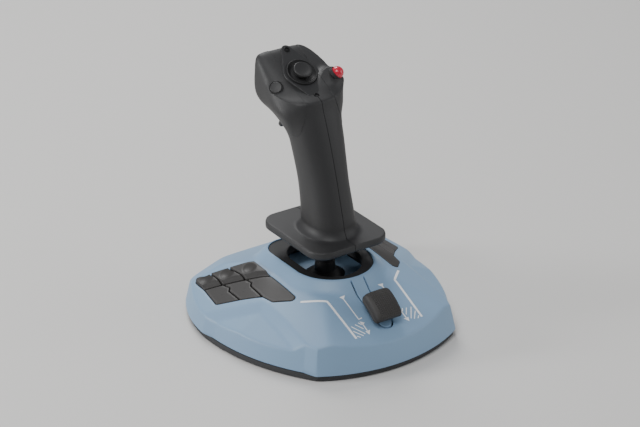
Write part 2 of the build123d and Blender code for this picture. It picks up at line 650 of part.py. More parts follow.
def throttle_pad():
    """Thumb pad: a curved block with a hollow underside."""
    outer = Cylinder(PAD_R, 2 * PAD_HALF) - Cylinder(PAD_INNER_R, 2 * PAD_HALF + 2)
    sector = polygon([(0, 0), *[(90 * cos(radians(a)), 90 * sin(radians(a)))
                                for a in (PAD_FROM, (PAD_FROM + PAD_TO) / 2, PAD_TO)]])
    pad = outer & Pos(0, 0, -20) * extrude(sector, amount=40)
    pad = fillet(pad.edges().filter_by(Axis.Z), 2.0)
    return lever_frame() * pad


def lever_frame():
    """Frame on the throttle's axle: local X up, local Y towards the user, local Z along the axle."""
    return Plane(origin=(0, LEVER_Y, LEVER_Z), x_dir=(0, 0, 1), z_dir=(1, 0, 0))


def throttle_lever():
    """Fork of two thin arms and a hub, which carries the pad through the grooves."""
    reach = (PAD_FROM + PAD_TO) / 2
    arm = Rot(0, 0, reach) * (Pos(PAD_INNER_R / 2, 0, 0) * Box(PAD_INNER_R, 12, 2 * ARM_HALF))
    arm += Cylinder(7.0, 2 * ARM_HALF)
    fork = Pos(0, 0, ARM_X) * arm + Pos(0, 0, -ARM_X) * arm
    fork += Cylinder(5.0, 2 * ARM_X)
    fork = fork & Cylinder(PAD_INNER_R, 60)
    fork -= Cylinder(AXLE_R + RUNNING, 40)
    return lever_frame() * fork


def throttle_axle():
    """Steel axle of the throttle."""
    return lever_frame() * Cylinder(AXLE_R, 2 * AXLE_HALF)


def throttle_bracket():
    """Two uprights on the tray that hold the axle."""
    plate = block(-AXLE_HALF, AXLE_HALF, LEVER_Y - 9, LEVER_Y + 9, FLOOR_TOP, FLOOR_TOP + 1.0)
    for side in (-1, 1):
        x0, x1 = sorted((side * 9.5, side * 12.5))
        plate += block(x0, x1, LEVER_Y - 7, LEVER_Y + 7, FLOOR_TOP, LEVER_Z + 5)
    return plate - lever_frame() * Cylinder(AXLE_R, 60)


def throttle_sensor():
    """Rotary sensor on the end of the axle."""
    body = lever_frame() * Pos(0, 0, 12.6 + 3.0) * Cylinder(7.0, 6.0)
    return body - lever_frame() * Cylinder(AXLE_R + 0.2, 80)


def main_board():
    """Main circuit board behind the gimbal, on four pillars."""
    board = block(-32, 32, 56, 90, FLOOR_TOP + 5.0, FLOOR_TOP + 6.6)
    for x, y in MAIN_BOARD_SCREWS:
        board -= post(x, y, 0, 30, 1.6)
    return board


def cable_grommet():
    """Rear cable inlet: a flanged rubber bush held between shell and tray, with an open bore."""
    y = BASE_HALF_DEPTH
    body = block(-6.9, 6.9, y - 8, y - 0.5, SHELL_BOTTOM + 0.05, SHELL_BOTTOM + 10.5)
    bore = Pos(0, 0, INLET_Z) * bar(Plane.XZ, -y - 5, -y + 20, INLET_R)
    return body - bore


def both_sides(shapes):
    """Each shape and its mirror image."""
    return [copy for shape in shapes for copy in (shape, flip(shape))]


def base_screw(x, y):
    """A countersunk-style pan screw from below the tray into a shell post."""
    return post(x, y, 1.2, 3.1, 3.0) + post(x, y, 3.1, 16.0, 1.2) - post(x, y, 1.0, 2.0, 1.2)


def housing_screw(x, y):
    """A screw that holds the gimbal housing to the tray."""
    top = FLOOR_TOP + 3.0
    return post(x, y + STICK_Y, top, top + 2.0, 2.8) + post(x, y + STICK_Y, FLOOR_TOP + 0.1, top + 0.1, 1.6)


def main_board_stands():
    """Pillars of the main board, with pegs through it."""
    return [post(x, y, FLOOR_TOP, FLOOR_TOP + 5.0, 3.0) + post(x, y, FLOOR_TOP, FLOOR_TOP + 8.0, 1.5)
            for x, y in MAIN_BOARD_SCREWS]


def main():
    """Build every piece and write it."""
    os.makedirs("parts", exist_ok=True)
    save("base_top_shell", base_top_shell())
    save("base_bottom_tray", base_bottom_tray())
    save("rubber_feet", *both_sides(post(x, y, 0, FOOT_STAND + 1.0, 7.8) for x, y in FEET))
    save("base_screws", *both_sides(base_screw(x, y) for x, y in SHELL_POSTS))
    save("stick_bezel", bezel())
    save("gimbal_cover", gimbal_cover())
    save("gimbal_housing", gimbal_housing())
    save("gimbal_screws", *[housing_screw(x, y) for x, y in HOUSING_SCREWS])
    save("pivot_bushes", *pivot_bushes())
    save("hall_sensor_board", block(-9, 9, STICK_Y - 9, STICK_Y + 9, FLOOR_TOP, FLOOR_TOP + BOARD_THICK))
    save("main_circuit_board", main_board())
    save("cable_grommet", cable_grommet())
    save("pitch_yoke", pitch_yoke())
    save("roll_pin", roll_pin())
    save("pitch_spring", Pos(POST_IN - 7.8, STICK_Y, PIVOT_Z) * coil(Plane.YZ, 4.5, 1.5, 6.0, 0.6))
    save("roll_spring", Pos(0, STICK_Y - YOKE_HALF_Y - 1.0, PIVOT_Z) * coil(Plane.XZ, 4.8, 1.5, 6.0, 0.6))
    save("stick_shaft", stick_shaft())
    save("stick_magnet", post(0, STICK_Y, PIVOT_Z - 14.5, PIVOT_Z - 11, 4.0))
    save("dust_dome", dust_dome())
    save("twist_cap", twist_cap())
    whole = grip_whole()
    save("grip_left_half", whole & block(-80, -SEAM, -80, 120, 60, 260))
    save("grip_right_half", whole & block(SEAM, 80, -80, 120, 60, 260))
    save("grip_screws", *grip_screws())
    save("twist_bush", twist_bush())
    save("left_head_module", head_module(LEFT_PROFILE, -1, THUMB_AT, THUMB_OUT, THUMB_R + 0.35))
    save("right_head_module", head_module(RIGHT_PROFILE, 1, RED_AT, RED_OUT, RED_R + 0.35))
    save("hat_plate", hat_plate())
    save("hat_screws", *hat_screws())
    save("hat_housing", hat_housing())
    save("hat_cradle", hat_cradle())
    save("hat_cap", hat_cap())
    save("thumb_button", round_button(THUMB_AT, THUMB_OUT, THUMB_R, 1.0, 4.0))
    save("red_button", round_button(RED_AT, RED_OUT, RED_R, 5.0, 3.0))
    save("head_switches", button_switch(THUMB_AT, THUMB_OUT, 4.0), button_switch(RED_AT, RED_OUT, 3.0))
    save("trigger", trigger())
    save("trigger_pin", trigger_pin())
    save("throttle_lever", throttle_lever())
    save("throttle_pad", throttle_pad())
    save("throttle_axle", throttle_axle())
    save("throttle_bracket", throttle_bracket())
    save("throttle_sensor", throttle_sensor())
    places = switch_places()
    board = switch_board(places)
    save("right_switch_board", board)
    save("left_switch_board", flip(board))
    save("board_stands", *board_stands(), *[flip(stand) for stand in board_stands()], *main_board_stands())
    switches = bank_switches(places)
    save("bank_switches", *switches, *[flip(switch) for switch in switches])
    for index, points in enumerate((REAR_1, REAR_2, REAR_3), 1):
        cap = button_cap(points, REAR_PROUD, True)
        save(f"right_rear_button_{index}", cap)
        save(f"left_rear_button_{index}", flip(cap))
    for index, points in enumerate((FRONT_1, FRONT_2, FRONT_3), 1):
        cap = button_cap(points, FRONT_PROUD, False)
        save(f"right_front_button_{index}", cap)
        save(f"left_front_button_{index}", flip(cap))


main()
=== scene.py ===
import json
import math
import bmesh
import bpy
import numpy as np
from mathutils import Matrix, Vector
from mathutils.geometry import delaunay_2d_cdt


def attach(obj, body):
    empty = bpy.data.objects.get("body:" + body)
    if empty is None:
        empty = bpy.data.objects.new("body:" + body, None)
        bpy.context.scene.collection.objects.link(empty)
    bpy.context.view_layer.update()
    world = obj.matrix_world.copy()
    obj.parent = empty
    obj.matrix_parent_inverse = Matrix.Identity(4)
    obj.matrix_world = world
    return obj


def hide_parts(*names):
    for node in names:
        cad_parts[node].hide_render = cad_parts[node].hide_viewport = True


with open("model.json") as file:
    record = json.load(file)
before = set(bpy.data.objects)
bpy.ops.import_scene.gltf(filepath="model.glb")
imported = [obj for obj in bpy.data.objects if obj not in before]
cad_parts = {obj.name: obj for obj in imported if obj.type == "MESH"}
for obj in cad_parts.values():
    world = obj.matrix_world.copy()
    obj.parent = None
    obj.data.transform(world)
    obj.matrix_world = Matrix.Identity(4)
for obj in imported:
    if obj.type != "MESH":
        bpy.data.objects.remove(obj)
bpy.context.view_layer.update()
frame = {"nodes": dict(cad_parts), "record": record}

bl_info = {
    "name": "Flight Joystick",
    "version": (1, 0, 0),
    "blender": (4, 5, 0),
    "location": "View3D > Sidebar > Joystick",
    "description": "Builds the visible skins of a desktop flight joystick round its CAD frame",
    "category": "Add Mesh",
}

MM = 0.001


# ---------------------------------------------------------------- settings

class JoystickColours(bpy.types.PropertyGroup):
    """Base colours of the joystick's finishes, in linear light."""

    shell: bpy.props.FloatVectorProperty(
        name="Shell", description="Blue-grey of the base", subtype="COLOR", size=3,
        default=(0.235, 0.370, 0.535), min=0, max=1)
    grip: bpy.props.FloatVectorProperty(
        name="Grip", description="Soft-touch black of the grip", subtype="COLOR", size=3,
        default=(0.023, 0.023, 0.024), min=0, max=1)
    button: bpy.props.FloatVectorProperty(
        name="Buttons", description="Warm dark grey of the base's buttons", subtype="COLOR", size=3,
        default=(0.028, 0.026, 0.025), min=0, max=1)
    tray: bpy.props.FloatVectorProperty(
        name="Tray", description="Charcoal of the bottom tray", subtype="COLOR", size=3,
        default=(0.032, 0.033, 0.035), min=0, max=1)
    accent: bpy.props.FloatVectorProperty(
        name="Accent", description="Red of the button on the head's right", subtype="COLOR", size=3,
        default=(0.60, 0.010, 0.040), min=0, max=1)
    ink: bpy.props.FloatVectorProperty(
        name="Ink", description="White of the printed lines", subtype="COLOR", size=3,
        default=(0.95, 0.96, 0.97), min=0, max=1)


class JoystickSizes(bpy.types.PropertyGroup):
    """Sizes that the skins are worked out from."""

    wall: bpy.props.FloatProperty(
        name="Wall", description="Thickness of the shell", default=0.0025, min=0.001, max=0.005,
        unit="LENGTH", precision=4)
    edge: bpy.props.FloatProperty(
        name="Edge", description="Radius on the buttons' edges", default=0.0007, min=0.0001, max=0.002,
        unit="LENGTH", precision=4)
    line: bpy.props.FloatProperty(
        name="Line", description="Width of the broad printed lines", default=0.0019, min=0.0005, max=0.004,
        unit="LENGTH", precision=4)
    spacing: bpy.props.FloatProperty(
        name="Mesh Spacing", description="Distance between points on the shell", default=0.0022, min=0.001,
        max=0.006, unit="LENGTH", precision=4)


# ---------------------------------------------------------------- plan geometry, in millimetres

def arc(start, middle, end, step=1.0):
    """Points along the circle through three points: centre by equal distances, then evenly spaced angles."""
    p = np.array([start, middle, end], float)
    centre = np.linalg.solve(2 * (p[1:] - p[0]), (p[1:] ** 2).sum(1) - (p[0] ** 2).sum())
    angle = np.unwrap(np.arctan2(*(p - centre).T[::-1]))
    radius = np.hypot(*(p[0] - centre))
    count = max(3, int(abs(angle[2] - angle[0]) * radius / step))
    t = np.linspace(angle[0], angle[2], count)
    return centre + radius * np.c_[np.cos(t), np.sin(t)]


def resample(loop, step):
    """The closed loop again, with its points evenly spaced along its length."""
    loop = np.asarray(loop, float)
    closed = np.vstack([loop, loop[:1]])
    run = np.r_[0, np.cumsum(np.hypot(*np.diff(closed, axis=0).T))]
    count = max(8, int(round(run[-1] / step)))
    at = np.linspace(0, run[-1], count, endpoint=False)
    return np.c_[np.interp(at, run, closed[:, 0]), np.interp(at, run, closed[:, 1])]


def rounded(corners, radius, step=0.5):
    """A polygon whose corners are turned by circular arcs of the given radius, evenly spaced."""
    corners = np.asarray(corners, float)
    radii = np.broadcast_to(radius, len(corners))
    points = []
    for i, r in enumerate(radii):
        before, here, after = corners[i - 1], corners[i], corners[(i + 1) % len(corners)]
        a, b = before - here, after - here
        la, lb = np.hypot(*a), np.hypot(*b)
        a, b = a / la, b / lb
        half = 0.5 * math.acos(float(np.clip(a @ b, -1, 1)))
        if r < 0.01 or half > 1.55:
            points.append(here[None])
            continue
        reach = min(r / math.tan(half), 0.48 * la, 0.48 * lb)
        bend = (a + b) / np.hypot(*(a + b))
        tip = here + bend * (reach / math.cos(half) - reach * math.tan(half))
        points.append(arc(here + a * reach, tip, here + b * reach, step / 2))
    return resample(np.vstack(points), step)


def normals(loop):
    """Outward unit normals of an anticlockwise loop, from the chord between each point's neighbours."""
    chord = np.roll(loop, -1, 0) - np.roll(loop, 1, 0)
    chord /= np.maximum(np.hypot(*chord.T), 1e-9)[:, None]
    return np.c_[chord[:, 1], -chord[:, 0]]


def anticlockwise(loop):
    """The loop, turned round if its signed area is negative."""
    x, y = loop.T
    return loop if (x * np.roll(y, -1) - y * np.roll(x, -1)).sum() > 0 else loop[::-1]


def mirrored(loop):
    """The loop on the other side of the stick, still anticlockwise."""
    return (loop * [-1, 1])[::-1]


def inside(points, loop):
    """True for each point that a ray along +X leaves through an odd number of the loop's edges."""
    x, y = points[:, :1], points[:, 1:]
    ax, ay = loop.T
    bx, by = np.roll(loop, -1, 0).T
    crossing = (ay > y) != (by > y)
    slope = (bx - ax) / np.where(by == ay, 1e-12, by - ay)
    return (crossing & (x < ax + (y - ay) * slope)).sum(1) % 2 == 1


def nearest(points, loop):
    """Each point's distance to the closest point of a finely sampled loop."""
    gaps = [np.hypot(part[:, :1] - loop[:, 0], part[:, 1:] - loop[:, 1]).min(1)
            for part in np.array_split(points, max(1, len(points) // 2000))]
    return np.concatenate(gaps)


def fill(loops, spacing, extra=None):
    """Triangles between the first loop and the holes after it: a triangular grid of points keeps clear of
    the loops, and a constrained Delaunay mesh joins them all."""
    outer = loops[0]
    low, high = outer.min(0), outer.max(0)
    gx, gy = np.meshgrid(np.arange(low[0], high[0], spacing), np.arange(low[1], high[1], spacing * 0.866))
    gx[::2] += spacing / 2
    grid = np.c_[gx.ravel(), gy.ravel()]
    if extra is not None:
        grid = np.vstack([extra, grid[nearest(grid, extra) > 0.55 * spacing]])
    keep = inside(grid, outer) & (nearest(grid, np.vstack(loops)) > 0.45 * min(spacing, 1.2))
    for hole in loops[1:]:
        keep &= ~inside(grid, hole)
    points = np.vstack([*loops, grid[keep]])
    edges, start = [], 0
    for loop in loops:
        ring = np.arange(start, start + len(loop))
        edges.append(np.c_[ring, np.roll(ring, -1)])
        start += len(loop)
    out = delaunay_2d_cdt([Vector(p) for p in points.tolist()], np.vstack(edges).tolist(), [], 0, 1e-7)
    plan = np.array([tuple(v) for v in out[0]])
    faces = np.array([f for f in out[2] if len(f) == 3])
    middle = plan[faces].mean(1)
    keep = inside(middle, outer)
    for hole in loops[1:]:
        keep &= ~inside(middle, hole)
    return plan, faces[keep], start


def ring_quads(first, second, count, closed=True):
    """Quads between two rings of count points that start at these indices."""
    i = np.arange(count if closed else count - 1)
    j = (i + 1) % count
    return np.c_[first + i, first + j, second + j, second + i]


def slab(outline, holes, top, depth, edge, spacing, steps=3, floor=None, extra=None):
    """A closed plate whose upper face is the height function top over a plan outline with holes. Its upper
    edges turn down by a quarter circle of radius edge, and its sides go down by depth, or to floor."""
    loops = [anticlockwise(outline)] + [anticlockwise(hole)[::-1] for hole in holes]
    inner = [loop - normals(loop) * edge for loop in loops]
    plan, faces, _ = fill([inner[0]] + inner[1:], spacing, extra)
    height = top(plan)
    under = (height - depth) if floor is None else np.full(len(height), float(floor))
    points = [np.c_[plan, height], np.c_[plan, under]]
    polys = [faces, faces[:, ::-1] + len(plan)]
    flat = [tuple(f) for part in polys for f in part.tolist()]
    offset, start = 2 * len(plan), 0
    for loop, shrunk in zip(loops, inner):
        count = len(loop)
        rings = []
        for turn in np.linspace(0, math.pi / 2, steps + 1)[1:]:
            place = shrunk + normals(loop) * edge * math.sin(turn)
            rings.append(np.c_[place, top(shrunk) - edge * (1 - math.cos(turn))])
        low = rings[-1].copy()
        low[:, 2] = (top(shrunk) - depth) if floor is None else floor
        rings.append(low)
        points += rings
        heads = [start] + [offset + k * count for k in range(len(rings))]
        for a, b in zip(heads, heads[1:]):
            flat += ring_quads(a, b, count)[:, ::-1].tolist()
        flat += ring_quads(heads[-1], start + len(plan), count)[:, ::-1].tolist()
        offset += len(rings) * count
        start += count
    return np.vstack(points), flat


def piece(name, points, faces, body, material, stands_for=(), sharp=38.0, frame_at=None, tidy=True):
    """A mesh object from points in millimetres and lists of corner indices, riding on a CAD body."""
    points = np.asarray(points, float)
    if frame_at is not None:
        origin, across, along, out = frame_at
        points = origin + points[:, :1] * across + points[:, 1:2] * along + points[:, 2:] * out
    mesh = bpy.data.meshes.new(name)
    mesh.from_pydata((points * MM).tolist(), [], faces if isinstance(faces, list) else faces.tolist())
    mesh.validate()
    if tidy:
        join_doubles(mesh)
    mesh.shade_smooth()
    mesh.set_sharp_from_angle(angle=math.radians(sharp))
    made = bpy.data.objects.new(name, mesh)
    bpy.context.collection.objects.link(made)
    mesh.materials.append(material)
    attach(made, body)
    if stands_for:
        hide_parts(*([stands_for] if isinstance(stands_for, str) else stands_for))
    return made


def join_doubles(mesh):
    """Merge points that lie on each other and turn every face outwards."""
    work = bmesh.new()
    work.from_mesh(mesh)
    bmesh.ops.remove_doubles(work, verts=work.verts, dist=2e-6)
    bmesh.ops.recalc_face_normals(work, faces=work.faces)
    work.to_mesh(mesh)
    work.free()


# ---------------------------------------------------------------- the base's shape

SHELL_LOW = 6.0
DRAFT = math.tan(math.radians(13))
DECK_TOP = 49.3
COLLAR_TOP = 58.0
PANEL_INSET = 2.8
BEZEL_HALF = 35.5


def soft_min(values, radius):
    """A minimum whose corners are rounded: minus the log of the sum of exponentials, scaled by radius."""
    values = np.stack(values)
    low = values.min(0)
    return low - radius * np.log(np.exp(-(values - low) / radius).sum(0))


def soft_step(value, width):
    """0 to 1 as value goes from minus to plus half of width, by a cubic."""
    t = np.clip(value / width + 0.5, 0, 1)
    return t * t * (3 - 2 * t)


def oval_gap(plan):
    """Distance outside the bezel's outline: half round in front, rounded corners of 18 mm behind."""
    x, y = np.abs(plan[:, 0]), plan[:, 1]
    front = np.hypot(x, np.minimum(y + 3.0, 0)) - BEZEL_HALF
    qx, qy = x - (BEZEL_HALF - 18.0), y - (54.5 - 18.0)
    rear = np.hypot(np.maximum(qx, 0), np.maximum(qy, 0)) + np.minimum(np.maximum(qx, qy), 0) - 18.0
    return np.where(y < -3.0, front, rear)


def deck(plan):
    """Height of the deck without its collar or panels: the rounded minimum of its sloping facets."""
    x, y = np.abs(plan[:, 0]), plan[:, 1]
    facets = [
        np.full(len(x), DECK_TOP),
        48.9 + 0.41 * (y + 45.4),
        49.0 - 0.30 * (y - 50.0) - 0.0012 * np.maximum(y - 50.0, 0) ** 2,
        41.3 - 0.50 * (x - 68.4),
        41.3 - 0.40 * (x - 68.4) + 0.11 * (y - 0.7) - 0.0008 * np.maximum(-y - 20.0, 0) ** 2,
        30.3 - 0.325 * (x - 91.3) - 0.565 * (y - 76.0),
    ]
    return soft_min(facets, 0.8)


PANEL_OUTER = [(73.5, -110.0), (69.6, -34.0), (70.5, -4.5), (108.0, 35.0)]
PANEL_INNER = [(81.5, -110.0), (77.8, -34.0), (76.8, -9.5), (108.0, 21.5)]


def path_gap(plan, path):
    """Distance to the right of a path that runs from front to rear: the least over its straight edges."""
    x, y = np.abs(plan[:, 0]), plan[:, 1]
    gaps = []
    for (ax, ay), (bx, by) in zip(path, path[1:]):
        gaps.append(((by - ay) * (x - ax) - (bx - ax) * (y - ay)) / math.hypot(bx - ax, by - ay))
    return np.min(gaps, axis=0)


def panel_part(plan):
    """0 outside a sunk side panel, 1 on its face, and the share of the way down its sloping border."""
    outer, inner = path_gap(plan, PANEL_OUTER), path_gap(plan, PANEL_INNER)
    t = np.clip(outer / np.maximum(outer - inner, 1e-6), 0, 1)
    t = np.where(outer <= 0, 0, np.where(inner >= 0, 1, t))
    return t


def panel_face(plan):
    """Height of a sunk panel: a plane that leans outwards more than the deck does."""
    x, y = np.abs(plan[:, 0]), plan[:, 1]
    return 34.0 - 0.46 * (x - 77.0) + 0.18 * (y + 6.0)


def shell_top(plan):
    """Height of the shell: the deck, its panels sunk over a narrow slope, and the flared collar added."""
    ground = deck(plan)
    sunk = np.minimum(panel_face(plan), ground - 3.0)
    ground = ground + (sunk - ground) * panel_part(plan)
    gap = oval_gap(plan)
    flare = COLLAR_TOP - 0.9 * np.maximum(gap - 1.2, 0) - 0.012 * np.maximum(gap - 1.2, 0) ** 2
    flare = np.where(gap < 14.0, flare, -50.0)
    return -soft_min([-ground, -flare], 0.9)


def base_outline(step=1.2):
    """The base's plan at the bottom of the shell, from its arcs and its two front corner facets."""
    right = [
        arc((71.8, -85.2), (101.3, -31.0), (110.9, 28.0), step),
        arc((110.9, 28.0), (106.0, 58.0), (93.0, 87.0), step),
        arc((93.0, 87.0), (86.5, 94.6), (76.0, 99.0), step),
    ]
    front = arc((-71.2, -85.9), (0.0, -105.3), (71.2, -85.9), step)
    rear = arc((76.0, 99.0), (0.0, 105.3), (-76.0, 99.0), step)
    left = [(part * [-1, 1])[::-1] for part in right[::-1]]
    return anticlockwise(resample(np.vstack([front, *right, rear, *left]), step))


def wall_inset(loop):
    """How far the wall stands in at each outline point: the panels' recess, with sloping ends."""
    x, y = loop.T
    between = np.clip((y + 84.5) / 9.0, 0, 1) * np.clip((30.0 - y) / 13.0, 0, 1) * (np.abs(x) > 60)
    return PANEL_INSET * between


def shoulder(loop, out):
    """Height and inset where wall and deck meet, by repeated substitution."""
    base = wall_inset(loop)
    height = np.full(len(loop), 25.0)
    for _ in range(30):
        inset = base + (height - SHELL_LOW) * DRAFT
        height = 0.5 * height + 0.5 * shell_top(loop - out * inset[:, None])
    return base + (height - SHELL_LOW) * DRAFT, height


BANK = [(91.3, 76.1), (79.6, 67.0), (66.9, 57.2), (49.1, 42.7), (49.6, 14.7), (49.4, -29.5),
        (66.0, -11.5), (68.0, 0.7), (80.8, 16.0), (95.5, 31.5), (91.9, 57.0)]
BANK_RADII = [2.5, 0, 0, 2.5, 0, 3.4, 4.0, 3.0, 0, 4.0, 0]


def throttle_groove():
    """Outline of the narrow groove that runs down both sides of the fixed rib and round its front end."""
    outer, inner, rear, front = 7.15, 5.85, -40.4, -81.0
    turn = np.linspace(0, math.pi, 15)
    out = np.c_[outer * np.cos(turn), front - outer * np.sin(turn)]
    back = np.c_[inner * np.cos(turn), front - inner * np.sin(turn)][::-1]
    loop = np.vstack([[(outer, rear)], out, [(-outer, rear), (-inner, rear)], back, [(inner, rear)]])
    return anticlockwise(resample(loop, 0.9))


def bezel_outline(grow, step=1.2):
    """The oval round the stick, grown outwards."""
    half = BEZEL_HALF + grow
    corner = 18.0 + grow
    front = arc((-half, -3.0), (0, -3.0 - half), (half, -3.0), step)
    rear_y = 54.5 + grow
    middle = (half - 0.293 * corner, rear_y - 0.293 * corner)
    right = arc((half, rear_y - corner), middle, (half - corner, rear_y), step)
    return anticlockwise(resample(np.vstack([front, right, (right * [-1, 1])[::-1]]), step))


def mouth_outline(grow, step=1.0):
    """The opening that the stick moves in: half rounds in front and behind."""
    half = 27.0 + grow
    front = arc((-half, -1.0), (0, -1.0 - half), (half, -1.0), step)
    back = arc((half, 17.0), (0, 17.0 + half), (-half, 17.0), step)
    return anticlockwise(resample(np.vstack([front, back]), step))


def build_shell(sizes, materials):
    """Closed skin of the base: deck by height function, quadratic shoulder, drafted wall, inner face."""
    wall = sizes.wall / MM
    spacing = sizes.spacing / MM
    loop = base_outline()
    out = normals(loop)
    inset, height = shoulder(loop, out)
    rim = loop - out * (inset + 1.9)[:, None]
    creases = []
    for share in (0.0, 0.25, 0.5, 0.75, 1.0):
        path = (1 - share) * np.array(PANEL_OUTER) + share * np.array(PANEL_INNER)
        run = np.r_[0, np.cumsum(np.hypot(*np.diff(path, axis=0).T))]
        at = np.arange(0, run[-1], 1.1)
        line = np.c_[np.interp(at, run, path[:, 0]), np.interp(at, run, path[:, 1])]
        creases += [line, line * [-1, 1]]
    creases.append(np.vstack([bezel_outline(g) for g in (1.2, 3.0, 5.0, 7.5, 10.0, 12.0)]))
    bank = anticlockwise(rounded(BANK, BANK_RADII, 1.0))
    holes = [bezel_outline(0.2), throttle_groove(), bank, mirrored(bank)]
    holes = [hole[::-1] for hole in holes]
    edge = 0.45
    loops = [rim] + [hole - normals(hole) * edge for hole in holes]
    plan, faces, _ = fill(loops, spacing, np.vstack(creases))
    top = shell_top(plan)
    count = len(loop)
    points = [np.c_[plan, top], np.c_[plan, top - wall]]
    flat = faces.tolist() + (faces[:, ::-1] + len(plan)).tolist()
    at, start = 2 * len(plan), count
    for hole, shrunk in zip(holes, loops[1:]):
        size = len(hole)
        rings = []
        for turn in np.linspace(0, math.pi / 2, 4)[1:]:
            rings.append(np.c_[shrunk + normals(hole) * edge * math.sin(turn),
                               shell_top(shrunk) - edge * (1 - math.cos(turn))])
        low = rings[-1].copy()
        low[:, 2] = shell_top(shrunk) - wall
        rings.append(low)
        points += rings
        heads = [start] + [at + k * size for k in range(len(rings))] + [start + len(plan)]
        for a, b in zip(heads, heads[1:]):
            flat += ring_quads(a, b, size)[:, ::-1].tolist()
        at += len(rings) * size
        start += size
    rim_height = shell_top(rim)
    drop = height - 1.8
    low_place = loop - out * (wall_inset(loop) + (drop - SHELL_LOW) * DRAFT)[:, None]
    corner = loop - out * inset[:, None]
    rings = []
    for t in np.linspace(0, 1, 7)[1:]:
        place = (1 - t) ** 2 * rim + 2 * t * (1 - t) * corner + t * t * low_place
        lift = (1 - t) ** 2 * rim_height + 2 * t * (1 - t) * height + t * t * drop
        rings.append(np.c_[place, lift])
    for t in np.linspace(0, 1, 6)[1:]:
        z = drop + (SHELL_LOW + 0.5 - drop) * t
        rings.append(np.c_[loop - out * (wall_inset(loop) + (z - SHELL_LOW) * DRAFT)[:, None], z])
    foot = loop - out * wall_inset(loop)[:, None]
    rings.append(np.c_[foot - out * 0.5, np.full(count, SHELL_LOW)])
    rings.append(np.c_[foot - out * wall, np.full(count, SHELL_LOW)])
    rings.append(np.c_[foot - out * (wall + (drop - SHELL_LOW) * DRAFT)[:, None], drop - 1.0])
    points += rings
    heads = [0] + [at + k * count for k in range(len(rings))] + [len(plan)]
    for a, b in zip(heads, heads[1:]):
        flat += ring_quads(a, b, count)[:, ::-1].tolist()
    piece("base_shell_skin", np.vstack(points), flat, "base", materials["shell"],
          "base_top_shell", sharp=50)


# ---------------------------------------------------------------- buttons, bezel and printed lines

CAPS = {
    "rear_button_1": ([(91.3, 76.1), (79.6, 67.0), (79.5, 46.0), (91.9, 57.0)], True),
    "rear_button_2": ([(79.6, 67.0), (66.9, 57.2), (65.0, 31.4), (79.5, 46.0)], True),
    "rear_button_3": ([(66.9, 57.2), (49.1, 42.7), (50.0, 14.7), (65.0, 31.4)], True),
    "front_button_1": ([(91.9, 57.0), (79.5, 46.0), (77.7, 37.3), (80.5, 34.2), (80.8, 16.0),
                        (95.5, 31.5)], False),
    "front_button_2": ([(79.5, 46.0), (65.0, 31.4), (64.2, 23.8), (66.8, 21.1), (68.0, 0.7), (80.8, 16.0),
                        (80.5, 34.2), (77.7, 37.3)], False),
    "front_button_3": ([(65.0, 31.4), (49.6, 14.7), (49.4, -29.5), (66.0, -11.5), (68.0, 0.7), (66.8, 21.1),
                        (64.2, 23.8)], False),
}
DOTS = {"front_button_3": [(57.6, 7.9)], "front_button_2": [(71.4, 24.4), (74.0, 21.8)],
        "front_button_1": [(86.3, 36.8)]}
CAP_GAP = 0.35
TIPS = {(91.3, 76.1): 2.5, (49.4, -29.5): 3.4}   # corners turned as widely as the bank's own opening
DISHES = {"rear_button_1": (85.4, 64.6), "rear_button_2": (71.9, 52.0), "rear_button_3": (57.3, 38.2)}


def cap_top(middle, raised):
    """Height of a bank button: the deck plus a little; a raised one has a front bevel and a round dimple."""
    def height(plan):
        mirror = np.c_[np.abs(plan[:, 0]), plan[:, 1]]
        ground = deck(mirror)
        if not raised:
            return ground + 0.35
        front = (mirror[:, 1] - (14.7 + (mirror[:, 0] - 50.0) * 1.02)) * 0.70
        lift = 0.5 + 2.2 * soft_step(front - 3.2, 4.2)
        away = np.hypot(mirror[:, 0] - middle[0], (mirror[:, 1] - middle[1]) * 0.9)
        return ground + lift - 1.9 * np.clip(1 - (away / 6.0) ** 2, 0, 1)
    return height


def build_caps(sizes, materials):
    """The twelve bank buttons: rounded outlines lifted to the deck's height, edges turned down."""
    edge = sizes.edge / MM
    for name, (corners, raised) in CAPS.items():
        loop = anticlockwise(rounded(corners, [TIPS.get(corner, 1.0) for corner in corners], 0.7))
        loop = loop - normals(loop) * CAP_GAP
        middle = DISHES.get(name)
        for side, plan in (("right", loop), ("left", mirrored(loop))):
            points, faces = slab(plan, [], cap_top(middle, raised), 4.0, edge, 0.9 if raised else 1.6)
            piece(f"{side}_{name}_cap", points, faces, f"{side}_{name}", materials["button"],
                  f"{side}_{name}", sharp=45)
        if name in DOTS:
            turn = np.linspace(0, 2 * math.pi, 13)[:-1]
            for side, sign in (("right", 1), ("left", -1)):
                dots = [patch(np.c_[sign * (x + 0.6 * np.cos(turn)), y + 0.6 * np.sin(turn)][::sign], 0.1,
                              cap_top(None, False)) for x, y in DOTS[name]]
                points, faces = gather(dots)
                piece(f"{side}_{name}_dots", points, faces, f"{side}_{name}",
                      materials["inner"])


def build_bezel(materials):
    """Black insert in the collar: a flat plate whose front half dips, and a skirt down round the mouth."""
    def top(plan):
        dip = np.maximum(-plan[:, 1] - 4.0, 0)
        return 57.2 - 0.055 * dip - 0.9 * soft_step(-(plan[:, 1] + 13.0 - 0.12 * plan[:, 0]), 6.0)
    points, faces = slab(bezel_outline(-0.1), [mouth_outline(0)[::-1]], top, 8.0, 0.5, 2.4)
    piece("bezel_skin", points, faces, "base", materials["bezel"], "stick_bezel", sharp=45)


